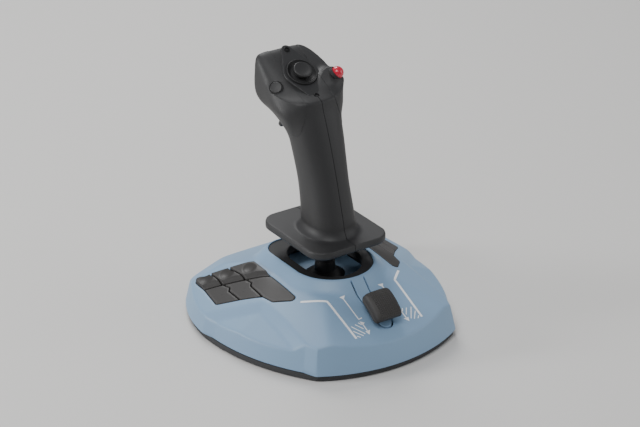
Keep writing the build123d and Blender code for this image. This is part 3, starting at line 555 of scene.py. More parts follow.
def ribbon(path, width, lift, ground, step=1.0):
    """A thin flat band carried along a plan path: four corners across, heights from the ground function."""
    path = np.asarray(path, float)
    run = np.r_[0, np.cumsum(np.hypot(*np.diff(path, axis=0).T))]
    at = np.unique(np.r_[run, np.linspace(0, run[-1], max(2, int(run[-1] / step)))])
    line = np.c_[np.interp(at, run, path[:, 0]), np.interp(at, run, path[:, 1])]
    chord = np.gradient(line, axis=0)
    chord /= np.hypot(*chord.T)[:, None]
    across = np.c_[-chord[:, 1], chord[:, 0]] * width / 2
    left, right = line + across, line - across
    rows = [np.c_[left, ground(left) + lift], np.c_[right, ground(right) + lift],
            np.c_[right, ground(right) - 0.15], np.c_[left, ground(left) - 0.15]]
    count = len(line)
    points = np.stack(rows, 1).reshape(-1, 3)
    i = np.arange(count - 1)[:, None] * 4
    j = np.arange(4)[None]
    k = (j + 1) % 4
    quads = np.stack([i + j, i + k, i + 4 + k, i + 4 + j], -1).reshape(-1, 4).tolist()
    quads += [[3, 2, 1, 0], [4 * count - 4, 4 * count - 3, 4 * count - 2, 4 * count - 1]]
    return points, quads


def patch(corners, lift, ground):
    """A thin flat triangle or polygon printed on the ground."""
    corners = np.asarray(corners, float)
    count = len(corners)
    points = np.vstack([np.c_[corners, ground(corners) + lift], np.c_[corners, ground(corners) - 0.15]])
    faces = [list(range(count)), list(range(2 * count - 1, count - 1, -1))]
    faces += ring_quads(0, count, count).tolist()
    return points, faces


def gather(parts):
    """Several point and face lists as one."""
    points, faces, start = [], [], 0
    for part_points, part_faces in parts:
        points.append(part_points)
        faces += [[index + start for index in face] for face in part_faces]
        start += len(part_points)
    return np.vstack(points), faces


HATCH = [((31.6, -86.0), (29.2, -88.2)), ((31.6, -80.9), (25.9, -87.6)), ((30.6, -76.2), (23.4, -86.4)),
         ((26.2, -75.6), (21.8, -81.6)), ((22.6, -74.9), (20.9, -77.4))]


def build_print(sizes, materials):
    """White lines on the deck: outer cranked lines, range brackets, hatching and arrows, on both sides."""
    broad = sizes.line / MM
    lift = 0.09
    parts = []
    for side in (-1, 1):
        def on(points):
            return np.array(points, float) * [side, 1]
        parts.append(ribbon(on([(50.5, -30.5), (34.6, -47.0), (33.4, -88.0)]), broad, lift, shell_top))
        parts.append(ribbon(on([(20.0, -48.6), (20.0, -72.0), (16.6, -71.6)]), 0.9, lift, shell_top))
        parts.append(patch(on([(22.2, -46.9), (16.8, -46.9), (20.2, -50.2)]), lift, shell_top))
        parts.append(ribbon(on([(19.6, -76.2), (19.9, -85.0)]), 0.9, lift, shell_top))
        parts.append(patch(on([(21.9, -84.4), (17.2, -84.4), (20.4, -88.2)]), lift, shell_top))
        parts.append(patch(on([(17.2, -76.6), (20.6, -74.2), (20.4, -78.4)]), lift, shell_top))
        for start, end in HATCH:
            parts.append(ribbon(on([start, end]), 0.75, lift, shell_top))
    points, faces = gather(parts)
    piece("deck_print", points, faces, "base", materials["ink"])


# ---------------------------------------------------------------- grip and head

GRIP_ROWS = np.array([
    (80.0, 2.4, 20.6, 24.0), (97.0, 3.0, 20.6, 24.0), (108.0, 5.0, 20.2, 23.0), (128.0, 9.8, 19.6, 22.1),
    (148.0, 15.3, 20.8, 21.5), (166.0, 20.8, 22.4, 20.8), (182.0, 27.0, 23.5, 21.0),
    (200.0, 34.0, 23.5, 20.0)])
HAT_AT = np.array([0.0, 43.2, 214.1])
HAT_TILT = math.radians(30.2)
HAT_OUT = np.array([0.0, -math.sin(HAT_TILT), math.cos(HAT_TILT)])
HAT_UP = np.array([0.0, math.cos(HAT_TILT), math.sin(HAT_TILT)])
THUMB_AT = np.array([-26.0, 42.0, 207.8])
THUMB_OUT = np.array([-0.55, -0.50, 0.67])
RED_AT = np.array([27.5, 30.0, 213.0])
RED_OUT = np.array([0.55, -0.45, 0.70])
# The red button's shoulder: a cone from under the button to SHOULDER_END, cut by a flank that rises sideways
# from the hat plate.
SHOULDER_END = np.array([7.0, 33.0, 183.0])
SHOULDER_DEPTH = 6.0
SHOULDER_RADIUS = 8.4
SHOULDER_GROWTH = 5.0
SIDEWAYS = np.array([1.0, 0, 0])
FLANK_START = 11.0
FLANK_SLOPE = 0.36
FLANK_LENGTH = 1.063   # length of the flank's normal before it is scaled
HEAD_PLANES = [
    (HAT_OUT, HAT_AT - 0.4 * HAT_OUT),
    ((0.0, 0.35, 0.94), (0.0, 71.0, 229.5)),
    ((0.0, 0.99, -0.12), (0.0, 74.5, 220.0)),
    ((0.0, 0.72, -0.69), (0.0, 67.0, 192.0)),
    ((0.0, 0.30, -0.95), (0.0, 46.0, 179.5)),
    ((0.0, -0.93, -0.36), (0.0, 18.5, 197.0)),
    (THUMB_OUT, THUMB_AT - 0.9 * THUMB_OUT),
    ((-0.99, 0.0, 0.13), (-29.6, 45.0, 207.0)),
    ((0.985, 0.0, -0.17), (30.0, 45.0, 207.0)),
    ((0.62, -0.10, 0.78), (27.5, 38.0, 216.5)),
    ((0.62, -0.75, 0.22), (26.5, 26.0, 203.0)),
    ((-0.62, -0.75, 0.22), (-27.0, 24.0, 201.0)),
    ((-0.75, 0.0, -0.66), (-27.5, 45.0, 186.0)),
    ((0.60, 0.0, -0.80), (24.0, 45.0, 186.0)),
]
MODULE_OUT = np.array([-0.949, -0.138, 0.281])
MODULE_AT = np.array([-13.0, 68.0, 229.0])


def smooth_rows(z, rows):
    """Catmull-Rom curve through the rows' values at height z."""
    keys, values = rows[:, 0], rows[:, 1:]
    slopes = np.gradient(values, keys, axis=0)
    i = np.clip(np.searchsorted(keys, z) - 1, 0, len(keys) - 2)
    span = keys[i + 1] - keys[i]
    t = np.clip((z - keys[i]) / span, 0, 1)[..., None]
    span = span[..., None]
    a, b = values[i], values[i + 1]
    return ((2 * t ** 3 - 3 * t * t + 1) * a + (t ** 3 - 2 * t * t + t) * span * slopes[i]
            + (3 * t * t - 2 * t ** 3) * b + (t ** 3 - t * t) * span * slopes[i + 1])


def soft_union(a, b, radius):
    """Polynomial smooth minimum of two distance fields."""
    h = np.clip(0.5 + 0.5 * (b - a) / radius, 0, 1)
    return b + (a - b) * h - radius * h * (1 - h)


def column_field(p):
    """Signed distance to the leaning grip, from its elliptical section at each height."""
    middle, half_x, half_y = np.moveaxis(smooth_rows(p[..., 2], GRIP_ROWS), -1, 0)
    x, y = p[..., 0] / half_x, (p[..., 1] - middle) / half_y
    radial = ((np.abs(x) ** 2.45 + np.abs(y) ** 2.45) ** (1 / 2.45) - 1) * np.minimum(half_x, half_y)
    return np.maximum(radial, p[..., 2] - 198.0)


def plate_field(p):
    """Signed distance to the palm plate: a box with big plan corners and round edges."""
    q = np.abs(p - np.array([0.0, 7.25, 83.3])) - np.array([38.5, 45.2, 3.3])
    corner, round_edge = 15.5, 1.3
    plan = np.hypot(np.maximum(q[..., 0] + corner, 0), np.maximum(q[..., 1] + corner, 0)) - corner
    plan = np.maximum(plan, np.maximum(q[..., 0], q[..., 1]))
    a, b = plan + round_edge, q[..., 2] + round_edge
    return np.hypot(np.maximum(a, 0), np.maximum(b, 0)) + np.minimum(np.maximum(a, b), 0) - round_edge


def head_field(p):
    """Signed distance to the head: the rounded maximum of the distances past its planes."""
    sides = []
    for out, at in HEAD_PLANES:
        out = np.asarray(out, float) / np.linalg.norm(out)
        sides.append(-((p - np.asarray(at)) @ out))
    return -soft_min(sides, 2.0)


def upper_field(p):
    """Column, head and the red button's shoulder as one smooth form, with flat seats for both buttons."""
    whole = soft_union(column_field(p), head_field(p), 13.0)
    down = -RED_OUT / np.linalg.norm(RED_OUT)
    foot = p - (RED_AT + SHOULDER_DEPTH * down)
    toward = SHOULDER_END - (RED_AT + SHOULDER_DEPTH * down)
    share = np.clip(foot @ toward / (toward @ toward), 0.0, 1.0)
    away = np.linalg.norm(foot - share[..., None] * toward, axis=-1)
    flank = (p - HAT_AT - FLANK_START * SIDEWAYS) @ (HAT_OUT - FLANK_SLOPE * SIDEWAYS) / FLANK_LENGTH
    cone = away - (SHOULDER_RADIUS + SHOULDER_GROWTH * share)
    whole = soft_union(whole, np.maximum(cone, flank), 9.0)
    for at, out, radius in ((THUMB_AT, THUMB_OUT, 7.0), (RED_AT - 0.6 * RED_OUT, RED_OUT, 8.5)):
        out = out / np.linalg.norm(out)
        rise = (p - at) @ out
        away = np.linalg.norm(p - at - rise[..., None] * out, axis=-1)
        whole = np.maximum(whole, np.minimum(rise, radius - away))
    return whole


def grip_field(p):
    """The whole hand grip: column, palm plate and head joined by smooth unions."""
    return soft_union(upper_field(p), plate_field(p), 6.0)


def cheek_field(p):
    """The head's form stood off by a quarter of a millimetre."""
    return upper_field(p) - 0.25


def march(field, start, heading, reach):
    """Where each ray from inside leaves the form, by halving the interval thirty times."""
    low = np.zeros(start.shape[:-1])
    high = np.broadcast_to(reach, low.shape).astype(float)
    for _ in range(30):
        middle = 0.5 * (low + high)
        within = field(start + heading * middle[..., None]) < 0
        low = np.where(within, middle, low)
        high = np.where(within, high, middle)
    return start + heading * low[..., None]


def grid_faces(rows, columns):
    """Quads of an open grid."""
    index = np.arange(rows * columns).reshape(rows, columns)
    return np.stack([index[:-1, :-1], index[:-1, 1:], index[1:, 1:], index[1:, :-1]], -1).reshape(-1, 4)


def plate_loop(turn, inset, z):
    """Plan points of the palm plate's outline at each turn angle, drawn in by inset."""
    heading = np.stack([np.cos(turn), np.sin(turn), 0 * turn], -1)
    start = np.broadcast_to(np.array([0.0, 7.25, 83.3]), heading.shape)
    edge = march(plate_field, start, heading, 70.0)
    plan = edge - heading * inset
    plan[:, 2] = z
    return plan


def grip_grid(turn):
    """Rows of points over half the grip: plate underside and edge, plate top, column, head, pole."""
    rows = []
    rows.append(np.stack([8.6 * np.cos(turn), 7.5 + 8.6 * np.sin(turn), np.full(len(turn), 82.4)], -1))
    rows.append(np.stack([8.9 * np.cos(turn), 7.5 + 8.9 * np.sin(turn), np.full(len(turn), 80.1)], -1))
    for inset in (26.0, 14.0, 5.0, 1.8):
        rows.append(plate_loop(turn, inset, 80.0))
    for angle in np.radians([-60, -30, 0]):
        rows.append(plate_loop(turn, 1.6 * (1 - math.cos(angle)), 81.6 + 1.6 * math.sin(angle)))
    rows.append(plate_loop(turn, 0.0, 84.9))
    heading_up = np.broadcast_to(np.array([0.0, 0.0, 1.0]), (len(turn), 3))
    foot = np.stack([25.0 * np.cos(turn), 3.6 + 28.6 * np.sin(turn), np.full(len(turn), 83.3)], -1)
    edge = plate_loop(turn, 0.45, 83.3)
    for part in np.r_[0.0, 0.02, 0.045, np.linspace(0.09, 1, 14)]:
        rows.append(march(grip_field, edge + (foot - edge) * part, heading_up, 40.0))
    for z in np.linspace(94.0, 172.0, 66):
        middle = smooth_rows(np.array([z]), GRIP_ROWS)[0, 0]
        heading = np.stack([np.cos(turn), np.sin(turn), 0 * turn], -1)
        start = np.broadcast_to(np.array([0.0, middle, z]), heading.shape)
        rows.append(march(grip_field, start, heading, 70.0))
    spine = np.array([[0.0, 23.0, 173.0], [0.0, 33.0, 185.0], [0.0, 45.0, 203.0]])
    for t in np.linspace(0.02, 1, 40):
        at = (1 - t) ** 2 * spine[0] + 2 * t * (1 - t) * spine[1] + t * t * spine[2]
        lean = math.radians(30) * t
        along = np.array([0.0, math.cos(lean), -math.sin(lean)])
        heading = np.stack([np.cos(turn), 0 * turn, 0 * turn], -1) + np.sin(turn)[:, None] * along
        rows.append(march(grip_field, np.broadcast_to(at, heading.shape), heading, 70.0))
    along = np.array([0.0, math.cos(math.radians(30)), -math.sin(math.radians(30))])
    pole = np.array([0.0, math.sin(math.radians(30)), math.cos(math.radians(30))])
    for rise in np.radians(np.linspace(2, 90, 46)):
        flat = np.stack([np.cos(turn), 0 * turn, 0 * turn], -1) + np.sin(turn)[:, None] * along
        heading = flat * math.cos(rise) + pole * math.sin(rise)
        rows.append(march(grip_field, np.broadcast_to(spine[2], heading.shape), heading, 70.0))
    return np.array(rows)


def build_grip(materials):
    """The two grip halves: half-turn grids of the grip's form, whose seam edges turn in at the middle."""
    seam = 0.24
    for side, name in ((1, "right"), (-1, "left")):
        turn = np.linspace(-math.pi / 2, math.pi / 2, 97)
        grid = grip_grid(turn if side > 0 else math.pi - turn)
        grid[..., 0] = side * np.maximum(side * grid[..., 0], seam)
        middle = grid[:, 48:49] * [0, 1, 1]
        lips = []
        for edge in (grid[:, :1], grid[:, -1:]):
            inward = (middle - edge) * [0, 1, 1]
            depth = np.maximum(np.linalg.norm(inward, axis=-1, keepdims=True), 1e-6)
            lips.append(edge + 1.6 * inward / depth)
        grid = np.concatenate([lips[0], grid, lips[1]], axis=1)
        faces = grid_faces(*grid.shape[:2])
        piece(f"grip_{name}_skin", grid.reshape(-1, 3), faces if side > 0 else faces[:, ::-1], "grip",
              materials["grip"], f"grip_{name}_half", sharp=60, tidy=False)


def build_modules(materials):
    """The head's two cheeks: the part of the head's surface outside a slanting plane, stood off a little,
    from rays that fan out from the plane's middle."""
    turn = np.linspace(0, 2 * math.pi, 181)[:-1]
    count = len(turn)
    for side, name in ((-1, "left"), (1, "right")):
        out = MODULE_OUT * [-side, 1, 1] / np.linalg.norm(MODULE_OUT)
        across = np.cross(out, [0, 0, 1])
        across /= np.linalg.norm(across)
        flat = np.cos(turn)[:, None] * across + np.sin(turn)[:, None] * np.cross(out, across)
        middle = np.array([side * 13.0, 45.0, 204.0])
        middle = middle - out * ((middle - MODULE_AT * [-side, 1, 1]) @ out)
        rim = march(cheek_field, np.broadcast_to(middle, flat.shape), flat, 60.0)
        inward = (middle - rim) / np.linalg.norm(middle - rim, axis=-1, keepdims=True)
        rows = [rim + inward * 2.0, rim + inward * 0.5]
        for rise in np.radians(np.r_[0.5, 1.0, 2.0, np.linspace(4, 90, 50)]):
            heading = flat * math.cos(rise) + out * math.sin(rise)
            rows.append(march(cheek_field, np.broadcast_to(middle, heading.shape), heading, 60.0))
        faces = []
        for row in range(len(rows) - 1):
            faces += ring_quads(row * count, (row + 1) * count, count).tolist()
        piece(f"{name}_module_skin", np.array(rows).reshape(-1, 3), faces, "grip",
              materials["grip"], f"{name}_head_module", sharp=50)


# ---------------------------------------------------------------- head controls

def revolve(profile, count=72):
    """A profile of radius and height pairs turned about its axis, with its ends on the axis."""
    profile = np.asarray(profile, float)
    turn = np.linspace(0, 2 * math.pi, count, endpoint=False)
    grid = np.stack([profile[:, :1] * np.cos(turn), profile[:, :1] * np.sin(turn),
                     np.repeat(profile[:, 1:], count, 1)], -1)
    faces = []
    for row in range(len(profile) - 1):
        faces += ring_quads(row * count, (row + 1) * count, count).tolist()
    return grid.reshape(-1, 3), faces


def facing(at, out):
    """Origin, two directions across and the outward direction of a round part."""
    out = np.asarray(out, float) / np.linalg.norm(out)
    across = np.cross([0.0, 1.0, 0.0], out)
    across /= np.linalg.norm(across)
    return np.asarray(at, float), across, np.cross(out, across), out


def hat_frame(lift=0.0):
    """The hat's own directions: X across, Y up the slope, Z out."""
    return HAT_AT + lift * HAT_OUT, np.array([1.0, 0, 0]), HAT_UP, HAT_OUT


def quarter(radius, centre_r, centre_z, start=0.0, end=90.0, steps=6):
    """Points of a rounded edge in a profile."""
    angle = np.radians(np.linspace(start, end, steps))
    return np.c_[centre_r + radius * np.cos(angle), centre_z + radius * np.sin(angle)]


def leaf_outline(grow):
    """The hat plate's pointed oval: three circles wrapped by their common tangents."""
    turn = np.linspace(0, 2 * math.pi, 361)[:-1]
    heading = np.c_[np.cos(turn), np.sin(turn)]
    centres = np.array([(0, 26.0), (0, 0), (0, -26.0)])
    radii = np.array([5.0, 16.3, 5.0]) + grow
    reach = heading @ centres.T + radii
    best = reach.argmax(1)
    points = centres[best] + heading * radii[best][:, None]
    return anticlockwise(resample(points, 0.7))


def build_hat(materials):
    """Hat plate, its two screws, the dished ring and the thumb cap."""
    turn = np.linspace(0, 2 * math.pi, 73)[:-1]
    circle = 13.6 * np.c_[np.cos(turn), np.sin(turn)]
    points, faces = slab(leaf_outline(0), [circle[::-1]], lambda plan: np.full(len(plan), 1.3), 4.6, 0.35,
                         1.8)
    piece("hat_plate_skin", points, faces, "grip", materials["plate"], "hat_plate", 50,
          hat_frame())
    for name, place in (("upper", 26.0), ("lower", -26.0)):
        head = [(0.001, 1.0), (0.9, 1.0), *quarter(0.2, 0.9, 1.2, -90, 0, 3), (1.1, 1.9), (2.1, 1.95),
                *quarter(0.35, 2.2, 1.6, 90, 0, 5), (2.55, 1.2), (0.001, 1.2)]
        points, faces = revolve(head[::-1], 36)
        points = points + [0, place, 0]
        piece(f"hat_screw_{name}", points, faces, "grip", materials["screw"],
              "hat_screws" if place > 0 else (), 40, hat_frame())
    ring = [(6.7, -1.2), (9.6, -0.4), (11.2, 0.8), (12.2, 2.0), *quarter(0.45, 12.9, 2.2, 150, 0, 8),
            (13.5, 1.4), (13.5, -3.0), (6.7, -3.0), (6.7, -1.2)]
    points, faces = revolve(ring[::-1])
    piece("hat_ring_skin", points, faces, "grip", materials["bezel"], "hat_housing", 50,
          hat_frame())
    cap = [(0.001, 5.2), (2.5, 5.25), (4.8, 5.5), (6.2, 5.85), *quarter(0.9, 7.2, 5.1, 90, 0, 7),
           (8.0, 4.0), *quarter(0.6, 7.3, 3.6, 0, -90, 4), (3.1, 2.9), (3.0, -2.0), (0.001, -2.0)]
    points, faces = revolve(cap[::-1])
    piece("hat_cap_skin", points, faces, "hat", materials["soft_button"], "hat_cap", 50,
          hat_frame())


def build_head_buttons(materials):
    """The round thumb button in its seat, and the tall red button in its collar."""
    crown = [(0.001, 1.15), (2.0, 1.1), (3.6, 0.95), *quarter(0.7, 4.45, 0.2, 80, 0, 6), (5.15, -4.0),
             (0.001, -4.0)]
    points, faces = revolve(crown[::-1])
    piece("thumb_button_skin", points, faces, "thumb_button", materials["soft_button"],
          "thumb_button", 50, facing(THUMB_AT, THUMB_OUT))
    seat = [(5.4, -2.0), (5.4, 0.1), *quarter(0.3, 5.75, 0.15, 180, 20, 6), (6.3, -2.0), (5.4, -2.0)]
    points, faces = revolve(seat[::-1])
    piece("thumb_button_seat", points, faces, "grip", materials["bezel"], (), 50,
          facing(THUMB_AT, THUMB_OUT))
    dome = [(0.001, 5.6), *quarter(5.5, 0.0, 0.1, 84, 4, 14), (5.5, -2.5), (0.001, -2.5)]
    points, faces = revolve(dome[::-1])
    piece("red_button_skin", points, faces, "red_button", materials["red"], "red_button", 50,
          facing(RED_AT, RED_OUT))
    collar = [(5.8, -3.0), (5.8, -0.6), *quarter(0.3, 6.15, -0.5, 180, 0, 6), (6.9, -3.0), (5.8, -3.0)]
    points, faces = revolve(collar[::-1])
    piece("red_button_collar", points, faces, "grip", materials["bezel"], (), 50,
          facing(RED_AT, RED_OUT))


def build_trigger(materials):
    """The trigger: a rounded section carried down a curve, narrower at its tip."""
    spine = np.array([(55.0, 188.0), (58.5, 178.0), (64.0, 167.5), (71.6, 156.6)])
    t = np.linspace(0, 1, 40)[:, None]
    line = ((1 - t) ** 3 * spine[0] + 3 * t * (1 - t) ** 2 * spine[1] + 3 * t * t * (1 - t) * spine[2]
            + t ** 3 * spine[3])
    chord = np.gradient(line, axis=0)
    chord /= np.hypot(*chord.T)[:, None]
    side = np.c_[-chord[:, 1], chord[:, 0]]
    size = np.sqrt(np.clip(1 - np.maximum((t[:, 0] - 0.93) / 0.07, 0) ** 2, 0.0004, 1))
    half_x = 5.4 * size
    half_y = (4.2 - 1.7 * t[:, 0]) * size
    turn = np.linspace(0, 2 * math.pi, 41)[:-1]
    cx = np.sign(np.cos(turn)) * np.abs(np.cos(turn)) ** 0.6
    cy = np.sign(np.sin(turn)) * np.abs(np.sin(turn)) ** 0.6
    x = half_x[:, None] * cx
    y = line[:, :1] + half_y[:, None] * cy * side[:, :1]
    z = line[:, 1:] + half_y[:, None] * cy * side[:, 1:]
    grid = np.stack([x, y, z], -1)
    faces = []
    for row in range(len(grid) - 1):
        faces += ring_quads(row * 40, (row + 1) * 40, 40).tolist()
    faces.append(list(range(40))[::-1])
    faces.append([39 * 40 + i for i in range(40)])
    piece("trigger_skin", grid.reshape(-1, 3), faces, "trigger", materials["soft_button"],
          "trigger", 50)


# ---------------------------------------------------------------- throttle

LEVER_AT = np.array([0.0, -53.8, 12.7])


def build_pad(materials):
    """Throttle pad: a rounded trapezium carried round the lever's axle and drawn in at both ends, with a
    crown knurled by the product of two crossing sine waves."""
    section = rounded([(-14.2, -5.3), (14.2, -5.3), (11.6, 5.3), (-11.6, 5.3)], [2.0, 2.0, 3.2, 3.2], 0.34)
    rows, columns = 120, len(section)
    u = 0.5 - 0.5 * np.cos(np.linspace(0, math.pi, rows))[:, None]
    size = np.maximum(1 - np.abs(2 * u - 1) ** 7, 1e-4) ** 0.5
    sweep = np.radians(16.5 + 36.0 * u)
    across = section[:, 0] * (0.82 + 0.18 * size) * np.where(size < 0.05, 0.2, 1)
    rise = section[:, 1] * size
    along = sweep * 49.0
    crown = np.clip((section[:, 1] - 4.4) / 0.8, 0, 1) * (np.abs(section[:, 0]) < 9.6) * size
    knurl = 0.42 * crown * np.sin((along + across) * 1.7) * np.sin((along - across) * 1.7)
    radius = 44.0 + rise + knurl - 0.9 * (across / 12.0) ** 2 * (section[:, 1] > 0)
    y = LEVER_AT[1] - radius * np.sin(sweep)
    z = LEVER_AT[2] + radius * np.cos(sweep)
    grid = np.stack([across, y, z], -1)
    faces = []
    for row in range(rows - 1):
        faces += ring_quads(row * columns, (row + 1) * columns, columns).tolist()
    faces.append(list(range(columns))[::-1])
    faces.append([(rows - 1) * columns + i for i in range(columns)])
    piece("throttle_pad_skin", grid.reshape(-1, 3), faces, "throttle", materials["pad"],
          "throttle_pad", 50)


# ---------------------------------------------------------------- materials

def group_with(name, inputs, outputs):
    """A shader node group with named inputs and outputs."""
    group = bpy.data.node_groups.new(name, "ShaderNodeTree")
    for label, kind, value in inputs:
        socket = group.interface.new_socket(name=label, in_out="INPUT", socket_type=kind)
        if value is not None:
            socket.default_value = value
    for label, kind in outputs:
        group.interface.new_socket(name=label, in_out="OUTPUT", socket_type=kind)
    return group, group.nodes.new("NodeGroupInput"), group.nodes.new("NodeGroupOutput")


def grain_group():
    """Moulded grain: two scales of noise as a height, a roughness value and a slightly mottled colour."""
    group, inlet, outlet = group_with(
        "moulded_grain",
        [("Colour", "NodeSocketColor", (0.5, 0.5, 0.5, 1)), ("Grain Scale", "NodeSocketFloat", 3000.0),
         ("Mottle", "NodeSocketFloat", 0.06), ("Roughness", "NodeSocketFloat", 0.5),
         ("Roughness Spread", "NodeSocketFloat", 0.08)],
        [("Colour", "NodeSocketColor"), ("Roughness", "NodeSocketFloat"), ("Height", "NodeSocketFloat")])
    nodes, links = group.nodes, group.links
    place = nodes.new("ShaderNodeTexCoord")
    fine = nodes.new("ShaderNodeTexNoise")
    fine.inputs["Detail"].default_value = 3.0
    links.new(place.outputs["Object"], fine.inputs["Vector"])
    links.new(inlet.outputs["Grain Scale"], fine.inputs["Scale"])
    broad = nodes.new("ShaderNodeTexNoise")
    broad.inputs["Scale"].default_value = 38.0
    broad.inputs["Detail"].default_value = 4.0
    links.new(place.outputs["Object"], broad.inputs["Vector"])
    centred = nodes.new("ShaderNodeMath")
    centred.operation = "SUBTRACT"
    centred.inputs[1].default_value = 0.5
    links.new(broad.outputs["Fac"], centred.inputs[0])
    amount = nodes.new("ShaderNodeMath")
    amount.operation = "MULTIPLY"
    links.new(centred.outputs[0], amount.inputs[0])
    links.new(inlet.outputs["Mottle"], amount.inputs[1])
    plus = nodes.new("ShaderNodeMath")
    plus.operation = "ADD"
    plus.inputs[1].default_value = 1.0
    links.new(amount.outputs[0], plus.inputs[0])
    tint = nodes.new("ShaderNodeVectorMath")
    tint.operation = "SCALE"
    links.new(inlet.outputs["Colour"], tint.inputs[0])
    links.new(plus.outputs[0], tint.inputs["Scale"])
    links.new(tint.outputs["Vector"], outlet.inputs["Colour"])
    rough = nodes.new("ShaderNodeMath")
    rough.operation = "MULTIPLY_ADD"
    links.new(centred.outputs[0], rough.inputs[0])
    links.new(inlet.outputs["Roughness Spread"], rough.inputs[1])
    links.new(inlet.outputs["Roughness"], rough.inputs[2])
    links.new(rough.outputs[0], outlet.inputs["Roughness"])
    links.new(fine.outputs["Fac"], outlet.inputs["Height"])
    return group


def wear_group():
    """Edge wear: a mask from how sharply the surface bends, broken up by noise, that lightens a colour."""
    group, inlet, outlet = group_with(
        "edge_wear",
        [("Colour", "NodeSocketColor", (0.5, 0.5, 0.5, 1)),
         ("Worn Colour", "NodeSocketColor", (0.6, 0.6, 0.6, 1)),
         ("Amount", "NodeSocketFloat", 0.3)],
        [("Colour", "NodeSocketColor"), ("Mask", "NodeSocketFloat")])
    nodes, links = group.nodes, group.links
    shape = nodes.new("ShaderNodeNewGeometry")
    place = nodes.new("ShaderNodeTexCoord")
    noise = nodes.new("ShaderNodeTexNoise")
    noise.inputs["Scale"].default_value = 260.0
    links.new(place.outputs["Object"], noise.inputs["Vector"])
    ramp = nodes.new("ShaderNodeMapRange")
    ramp.inputs["From Min"].default_value = 0.53
    ramp.inputs["From Max"].default_value = 0.66
    links.new(shape.outputs["Pointiness"], ramp.inputs["Value"])
    broken = nodes.new("ShaderNodeMath")
    broken.operation = "MULTIPLY"
    links.new(ramp.outputs["Result"], broken.inputs[0])
    links.new(noise.outputs["Fac"], broken.inputs[1])
    mask = nodes.new("ShaderNodeMath")
    mask.operation = "MULTIPLY"
    links.new(broken.outputs[0], mask.inputs[0])
    links.new(inlet.outputs["Amount"], mask.inputs[1])
    mix = nodes.new("ShaderNodeMix")
    mix.data_type = "RGBA"
    links.new(mask.outputs[0], mix.inputs["Factor"])
    links.new(inlet.outputs["Colour"], mix.inputs["A"])
    links.new(inlet.outputs["Worn Colour"], mix.inputs["B"])
    links.new(mix.outputs["Result"], outlet.inputs["Colour"])
    links.new(mask.outputs[0], outlet.inputs["Mask"])
    return group


def finish(name, colour, groups, roughness=0.5, spread=0.08, grain=3000.0, bump=0.05, mottle=0.06,
           specular=0.5, metallic=0.0, coat=0.0, worn=None, wear=0.3):
    """One finish: grain and wear groups feeding a Principled shader through a Bump node."""
    material = bpy.data.materials.new(name)
    material.use_nodes = True
    nodes, links = material.node_tree.nodes, material.node_tree.links
    shader = nodes["Principled BSDF"]
    shader.inputs["Metallic"].default_value = metallic
    shader.inputs["Specular IOR Level"].default_value = specular
    shader.inputs["Coat Weight"].default_value = coat
    shader.inputs["Coat Roughness"].default_value = 0.12
    base = nodes.new("ShaderNodeGroup")
    base.node_tree = groups["grain"]
    base.inputs["Colour"].default_value = (*colour, 1)
    base.inputs["Grain Scale"].default_value = grain
    base.inputs["Mottle"].default_value = mottle
    base.inputs["Roughness"].default_value = roughness
    base.inputs["Roughness Spread"].default_value = spread
    edge = nodes.new("ShaderNodeGroup")
    edge.node_tree = groups["wear"]
    edge.inputs["Worn Colour"].default_value = (*(worn or [min(1, c * 1.9 + 0.02) for c in colour]), 1)
    edge.inputs["Amount"].default_value = wear
    links.new(base.outputs["Colour"], edge.inputs["Colour"])
    links.new(edge.outputs["Colour"], shader.inputs["Base Color"])
    links.new(base.outputs["Roughness"], shader.inputs["Roughness"])
    relief = nodes.new("ShaderNodeBump")
    relief.inputs["Strength"].default_value = bump
    relief.inputs["Distance"].default_value = 0.0002
    links.new(base.outputs["Height"], relief.inputs["Height"])
    links.new(relief.outputs["Normal"], shader.inputs["Normal"])
    return material


